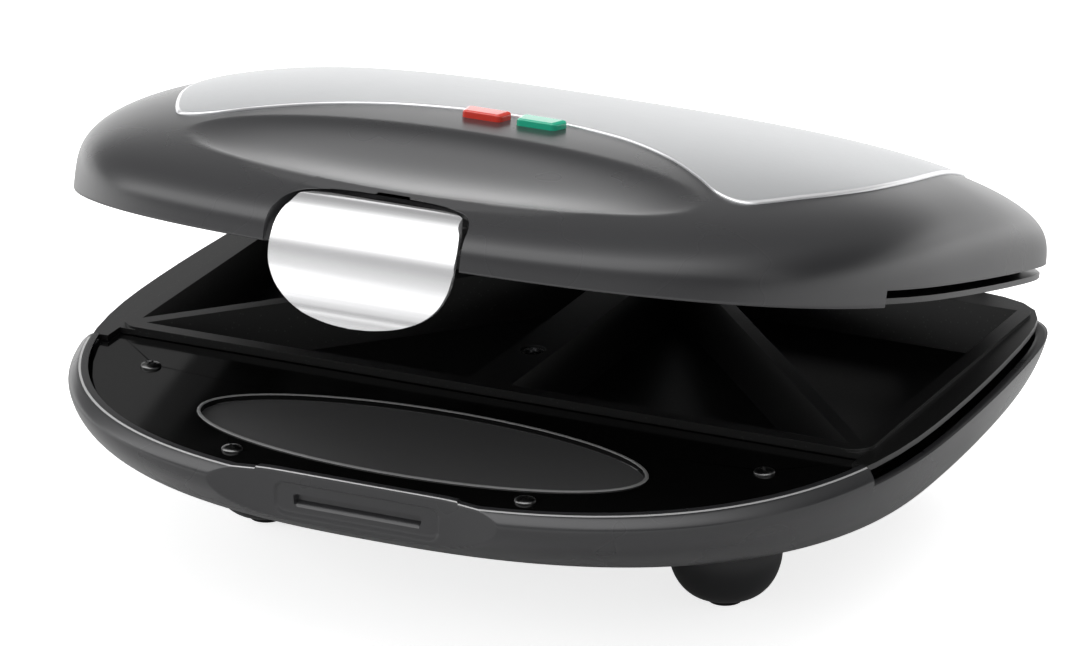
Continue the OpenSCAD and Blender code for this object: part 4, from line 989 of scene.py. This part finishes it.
# %% Decks
DISH_W, DISH_D, DISH_Y, DISH_Z, DISH_RIM_Z = 61.3, 21.6, -73.2, 46.6, 47.86
decks = {}
for node, body in (("base_deck", "base"), ("upper_deck", "lid")):
    decks[node] = rounded_copy(node, 0.22, 2, crisp=True)
    dressed(decks[node], body, [node], [deck_gloss, deck_matte, rim_painted_highlight])


def in_oval(x, y, more):
    """Whether a place is inside the dish's oval made larger by some millimetres."""
    return (x / (DISH_W + more)) ** 2 + ((y - DISH_Y) / (DISH_D + more)) ** 2 < 1


for face in decks["base_deck"].data.polygons:
    x, y, z = face.center.x / MM, face.center.y / MM - SHIFT_Y, face.center.z / MM - SHIFT_Z
    if z < DISH_Z + 0.15 and face.normal.z > 0.7 and in_oval(x, y, 0.3):
        face.material_index = 1
    # The dish's raised rim gets the painted highlight
    elif z > DISH_RIM_Z and in_oval(x, y, 1.3):
        face.material_index = 2

# %% [markdown]
# Two brackets stand out behind the base and two arms behind the lid, and a pin joins
# each pair. They are mouldings of the same plastic as the shells. The gland is where
# a mains lead goes in, and the small bracket in the notch carries the latch's pin.

# %% Brackets, arms and the rest of the hinge
for side in ("left", "right"):
    for node, body in (("hinge_bracket_" + side, "base"), ("hinge_arm_" + side, "lid")):
        dressed(rounded_copy(node, 0.5, 2), body, [node], [shell_plastic])
for node, body, width, material in (("cord_gland", "base", 0.5, sleeve_rubber),
                                    ("latch_bracket", "lid", 0.3, deck_matte)):
    dressed(rounded_copy(node, width, 2), body, [node], [material])

# %% [markdown]
# ## The latch
#
# The latch is a curved chrome plate. Seen from the front it is straight-sided with a
# round lower end, and seen from the side it follows the lid, hangs over the base and
# flares at its lip. From above it keeps clear of the notch. It is made as the overlap
# of those three drawings, each extruded, and then its edges are rounded.


# %% Latch drawings
LATCH_OUTER = [
    (-100.4, 63.9), (-102.4, 63.6), (-105, 62.7), (-107.2, 61.2), (-108.9, 59.2), (-110.4, 56.8),
    (-111.5, 54), (-112.3, 50.6), (-112.6, 46.6), (-112.5, 42.6), (-112.4, 39.6), (-112.6, 37),
    (-113.3, 34.8), (-114, 32.8),
]
LATCH_INNER = [
    (-112.5, 32.6), (-111.9, 34.4), (-111.2, 36.8), (-111, 39.6), (-111.1, 42.6), (-111.1, 46.6),
    (-110.8, 50.4), (-110.1, 53.5), (-109.1, 56.1), (-107.7, 58.3), (-106.2, 60.1), (-104.3, 61.4),
    (-102, 62.2), (-100.4, 62.4),
]
LATCH_EDGE = [
    (21.6, 66), (22.8, 61.6), (24.1, 59.4), (24.9, 56.6), (25.2, 53.4), (25.2, 49.6), (24.6, 45.8),
    (22.9, 42), (20.8, 39.4), (18.6, 37.6), (16.2, 36.2), (13, 34.9), (9.4, 34), (5, 33.3), (0, 33),
]


def prism(name, outline_2d, axis, low, high):
    """A drawing extruded along X from (Y, Z), along Y from (X, Z), or along Z from (X, Y)."""
    n = len(outline_2d)
    points = np.insert(np.array(outline_2d * 2, float), "xyz".index(axis), 0.0, axis=1)
    points[:n, "xyz".index(axis)], points[n:, "xyz".index(axis)] = low, high
    faces = [tuple(range(n))[::-1], tuple(range(n, 2 * n))]
    faces += [(j, (j + 1) % n, n + (j + 1) % n, n + j) for j in range(n)]
    obj = mesh_object(name, placed(points, on_lid=True), faces, crisp=None)
    bm = bmesh.new()
    bm.from_mesh(obj.data)
    bmesh.ops.recalc_face_normals(bm, faces=bm.faces)
    bm.to_mesh(obj.data)
    bm.free()
    return obj


NOTCH_HALF, NOTCH_GAP, LATCH_HALF = 26.2, 1.0, 26.0
side_view = list(smooth_line(LATCH_OUTER, 8)) + list(smooth_line(LATCH_INNER, 8))
right_edge = list(map(tuple, smooth_line(LATCH_EDGE, 6)))
front_view = right_edge + [(-x, z) for x, z in right_edge[::-1][1:]]
inside_notch = [(x * (1 - NOTCH_GAP / NOTCH_HALF), y - NOTCH_GAP) for x, y in notch_line]
inside_notch += [(LATCH_HALF, -130), (-LATCH_HALF, -130)]
latch = prism("latch_smooth", side_view, "x", -LATCH_HALF, LATCH_HALF)
cutters = [prism("latch_front_view", front_view, "y", -130, -90),
           prism("latch_plan_view", inside_notch, "z", 20, 80)]
for cutter in cutters:
    add_boolean(latch, "INTERSECT", cutter)
add_bevel(latch, 0.45, 3, 50)
baked(latch)
for cutter in cutters:
    bpy.data.objects.remove(cutter)
print("latch plate", len(latch.data.polygons), "faces")

# %% [markdown]
# Behind the plate a small hook goes under the catch, and two lugs reach back to the
# latch's pin. They are moulded in one with the plate, so all of it is one mesh.

# %% Hook and lugs behind the latch
LUG_Y, LUG_Z, LUG_R = -104, 58, 3
hidden = [prism("hook", [(-111.6, 41.4), (-109.5, 42.2), (-109.5, 43.2), (-111.6, 44)], "x", -15, 15)]
for side in (-1, 1):
    ends = sorted((side * 13, side * 17))
    arc = [(LUG_Y + LUG_R * math.cos(a), LUG_Z + LUG_R * math.sin(a)) for a in np.linspace(-3.3, 0.15, 24)]
    hidden.append(prism("lug", arc + [(-101, 62.3), (-104.4, 61.8), (-107.9, 59)], "x", *ends))
bm = bmesh.new()
for obj in [latch] + hidden:
    bm.from_mesh(obj.data)
bm.to_mesh(latch.data)
bm.free()
for obj in hidden:
    bpy.data.objects.remove(obj)
latch.data.shade_smooth()
latch.data.set_sharp_from_angle(angle=math.radians(30))
dressed(latch, "latch", ["latch"], [latch_chrome])
print("latch", len(latch.data.polygons), "faces")

# %% [markdown]
# ## Lenses
#
# Two little windows, one red and one green, sit in the lid just in front of the
# silver cover. Each is a tapered bar with rounded edges that stands a little proud.

# %% Lenses
for color, material in (("red", red_lens), ("green", green_lens)):
    dressed(rounded_copy("lens_" + color, 1.0, 6), "lid", ["lens_" + color], [material])

# %% [markdown]
# ## Feet
#
# Each foot is a dome that was turned about an upright axis, with a flat rubber pad
# under it. A turned shape is rings of points again: one ring for each step up the
# profile.


# %% Feet and pads
def turned(profile, x, y, steps=72):
    """Rings round an upright axis at x, y, from (radius, height) points."""
    angles = np.linspace(0, 2 * math.pi, steps, endpoint=False)
    return [np.column_stack([x + r * np.cos(angles), y + r * np.sin(angles), np.full(steps, z)])
            for r, z in profile]


STAND_Z = -SHIFT_Z
PAD_R, PAD_H, DOME_H, FOOT_X = 4.5, 1.6, 13, 65.5
SEAT_Z, LOW_R = STAND_Z + PAD_H, PAD_R + 0.4
for name, x, y, r, top in (("front_left", -FOOT_X, -32, 14.6, 24), ("front_right", FOOT_X, -32, 14.6, 24),
                           ("rear_left", -FOOT_X, 64, 10.0, 19), ("rear_right", FOOT_X, 64, 10.0, 19)):
    dome = [(PAD_R - 0.5, SEAT_Z), (LOW_R - 0.15, SEAT_Z)]
    dome += [(LOW_R + (r - LOW_R) * math.sin(a), SEAT_Z + DOME_H * (1 - math.cos(a)))
             for a in np.linspace(0.06, math.pi / 2, 28)]
    dome += [(r, top)]
    points, faces = lofted(placed(turned(dome, x, y)))
    foot = mesh_object("foot_" + name + "_smooth", points, faces)
    dressed(foot, "base", ["foot_" + name], [foot_plastic])
    pad = [(0.4, 0.3), (2.8, 0.3), (3.0, 0.0), (PAD_R - 0.25, 0.0), (PAD_R, 0.25), (PAD_R, PAD_H)]
    pad = [(r, z + STAND_Z) for r, z in pad]
    points, faces = lofted(placed(turned(pad, x, y, 48)))
    rubber = mesh_object("pad_" + name + "_smooth", points, faces)
    dressed(rubber, "base", ["pad_" + name], [pad_rubber])
    print("foot", name, len(foot.data.polygons), "faces, pad", len(rubber.data.polygons))

# %% [markdown]
# ## Screws
#
# All the screws have the same low round head with a cross in it. One head is made
# once, and Geometry Nodes puts it on every screw place. Each screw place is a point
# that carries the way its head faces.

# %% One screw
SHANK_R = 1.5


def screw_mesh(name, head_r, head_h, length):
    """A round-headed screw with a cross recess, pointing up, its seat at height 0."""
    profile = [(0.02, -length), (1.0, -length + 0.2), (SHANK_R, -length + 1.2), (SHANK_R, -0.02)]
    profile += [(head_r, 0.0), (head_r, head_h * 0.25)]
    profile += [(head_r * math.cos(a), head_h * (0.25 + 0.75 * math.sin(a)))
                for a in np.linspace(0.15, 1.45, 8)]
    points, faces = lofted(np.array(turned(profile, 0, 0, 32)) * MM)
    obj = mesh_object(name, points, faces)
    for turn_by in (0, math.pi / 2):
        bar = bmesh.new()
        bmesh.ops.create_cube(bar, size=1.0)
        size = Vector((head_r * 1.15, head_r * 0.26, head_h * 1.2)) * MM
        bmesh.ops.scale(bar, vec=size, verts=bar.verts)
        bmesh.ops.translate(bar, vec=(0, 0, head_h * MM), verts=bar.verts)
        bmesh.ops.rotate(bar, cent=(0, 0, 0), matrix=Matrix.Rotation(turn_by, 3, "Z"), verts=bar.verts)
        mesh = bpy.data.meshes.new("bar")
        bar.to_mesh(mesh)
        bar.free()
        cutter = in_scene("bar", mesh)
        add_boolean(obj, "DIFFERENCE", cutter)
        baked(obj)
        bpy.data.objects.remove(cutter)
    obj.data.shade_smooth()
    obj.data.set_sharp_from_angle(angle=math.radians(35))
    return obj


# %% [markdown]
# The tree turns each screw place into a point, sets the one screw there, and turns it
# the way that place faces. Each screw is also turned a little further than the last
# one, as no hand leaves all its crosses in line. At the end the copies become a plain
# mesh and get their finish.

# %% The tree that sets screws
screw_tree = bpy.data.node_groups.new("set_screws", "GeometryNodeTree")
for label, kind in (("Places", "Geometry"), ("Screw", "Object"), ("Turn", "Float"), ("Finish", "Material")):
    screw_tree.interface.new_socket(label, in_out="INPUT", socket_type="NodeSocket" + kind)
screw_tree.interface.new_socket("Screws", in_out="OUTPUT", socket_type="NodeSocketGeometry")
t_in, t_out = new_node(screw_tree, "NodeGroupInput"), new_node(screw_tree, "NodeGroupOutput")
to_points = new_node(screw_tree, "GeometryNodeMeshToPoints")
info = new_node(screw_tree, "GeometryNodeObjectInfo")
facing = new_node(screw_tree, "GeometryNodeInputNamedAttribute", data_type="FLOAT_VECTOR", Name="faces")
align = new_node(screw_tree, "FunctionNodeAlignRotationToVector", axis="Z")
index = new_node(screw_tree, "GeometryNodeInputIndex")
angle = calc(screw_tree, "MULTIPLY", (index, 0), (t_in, "Turn"))
about_z = new_node(screw_tree, "ShaderNodeCombineXYZ")
twist = new_node(screw_tree, "FunctionNodeRotateRotation", rotation_space="LOCAL")
put = new_node(screw_tree, "GeometryNodeInstanceOnPoints")
solid = new_node(screw_tree, "GeometryNodeRealizeInstances")
coat_it = new_node(screw_tree, "GeometryNodeSetMaterial")
for link in (
    (t_in, "Places", to_points, "Mesh"),
    (t_in, "Screw", info, "Object"),
    (facing, "Attribute", align, "Vector"),
    (angle, 0, about_z, "Z"),
    (align, "Rotation", twist, "Rotation"),
    (about_z, 0, twist, "Rotate By"),
    (to_points, "Points", put, "Points"),
    (info, "Geometry", put, "Instance"),
    (twist, 0, put, "Rotation"),
    (put, "Instances", solid, "Geometry"),
    (solid, "Geometry", coat_it, "Geometry"),
    (t_in, "Finish", coat_it, "Material"),
    (coat_it, "Geometry", t_out, "Screws"),
):
    wire(*link)
print("screw tree", len(screw_tree.nodes), "nodes")


# %% Screws in their places
def set_screws(node, body, places, toward, on_lid, head_r, head_h, length, steel=bright_steel):
    """Puts one screw at each plan place, facing one way, in place of a node."""
    at = placed(places, on_lid)
    ahead = placed(np.array(places, float) + np.array(toward, float), on_lid) - at
    mesh = bpy.data.meshes.new(node)
    mesh.from_pydata([tuple(p) for p in at], [], [])
    layer = mesh.attributes.new("faces", "FLOAT_VECTOR", "POINT")
    layer.data.foreach_set("vector", (ahead / MM).astype(np.float32).ravel())
    obj = in_scene(node + "_set", mesh)
    screw = screw_mesh(node + "_one", head_r, head_h, length)
    setter = obj.modifiers.new("screws", "NODES")
    setter.node_group = screw_tree
    for item in screw_tree.interface.items_tree:
        if item.name in ("Screw", "Turn", "Finish"):
            setter[item.identifier] = {"Screw": screw, "Turn": TURN_EACH, "Finish": steel}[item.name]
    baked(obj)
    bpy.data.objects.remove(screw)
    obj.data.set_sharp_from_angle(angle=math.radians(35))
    dressed(obj, body, [node], [])
    print(node, len(places), "screws", len(obj.data.polygons), "faces")


TURN_EACH, MIRROR_Z = 0.7, 2 * 50.4
UP, DOWN, REARWARD = (0, 0, 1), (0, 0, -1), (0, 1, 0)
deck_places = [(-86.3, -55), (-40.7, -97.4), (40.7, -97.4), (86.3, -55)]
plate_places = [(0, -8), (0, 58)]
for lower, upper, places, z, *sizes in (
    ("deck_screws", "upper_deck_screws", deck_places, 47.8, 2.7, 1.2, 8, dark_steel),
    ("lower_plate_screws", "upper_plate_screws", plate_places, 49.4, 3.0, 0.7, 12),
):
    set_screws(lower, "base", [(x, y, z) for x, y in places], UP, False, *sizes)
    set_screws(upper, "lid", [(x, y, MIRROR_Z - z) for x, y in places], DOWN, True, *sizes)
set_screws("hinge_bracket_screws", "base", [(s * x, 87, 41.5) for s in (-1, 1) for x in (56.2, 75.8)],
           REARWARD, False, 2.8, 1.6, 10)
set_screws("hinge_arm_screws", "lid", [(s * 66 + d, 85.8, 61.5) for s in (-1, 1) for d in (-9.5, 9.5)],
           REARWARD, True, 2.8, 1.4, 9)

# %% [markdown]
# ## Parts inside
#
# The element, clamps, reflectors, switchgear and wires are hidden when the toaster
# is closed. Their solids already have the right form, so they only get a finish.

# %% Finishes for the solids that stay
INSIDE = {
    bright_steel: ["lower_heater", "upper_heater", "lower_heater_clamps", "upper_heater_clamps",
                   "hinge_pin_left", "hinge_pin_right", "latch_pin"],
    bright_sheet: ["lower_reflector", "upper_reflector"],
    insulator: ["thermostat", "lower_thermal_fuse", "upper_thermal_fuse", "terminal_block", "lamp_holder"],
    braid: ["base_leads", "lid_leads"],
    sleeve_rubber: ["hinge_lead_base", "hinge_lead_lid"],
    lamp_glass: ["neon_lamp_red", "neon_lamp_green"],
}
for material, nodes in INSIDE.items():
    for node in nodes:
        solid_mesh = frame["nodes"][node].data
        solid_mesh.materials.clear()
        solid_mesh.materials.append(material)
    print(material.name, "on", len(nodes), "solids")
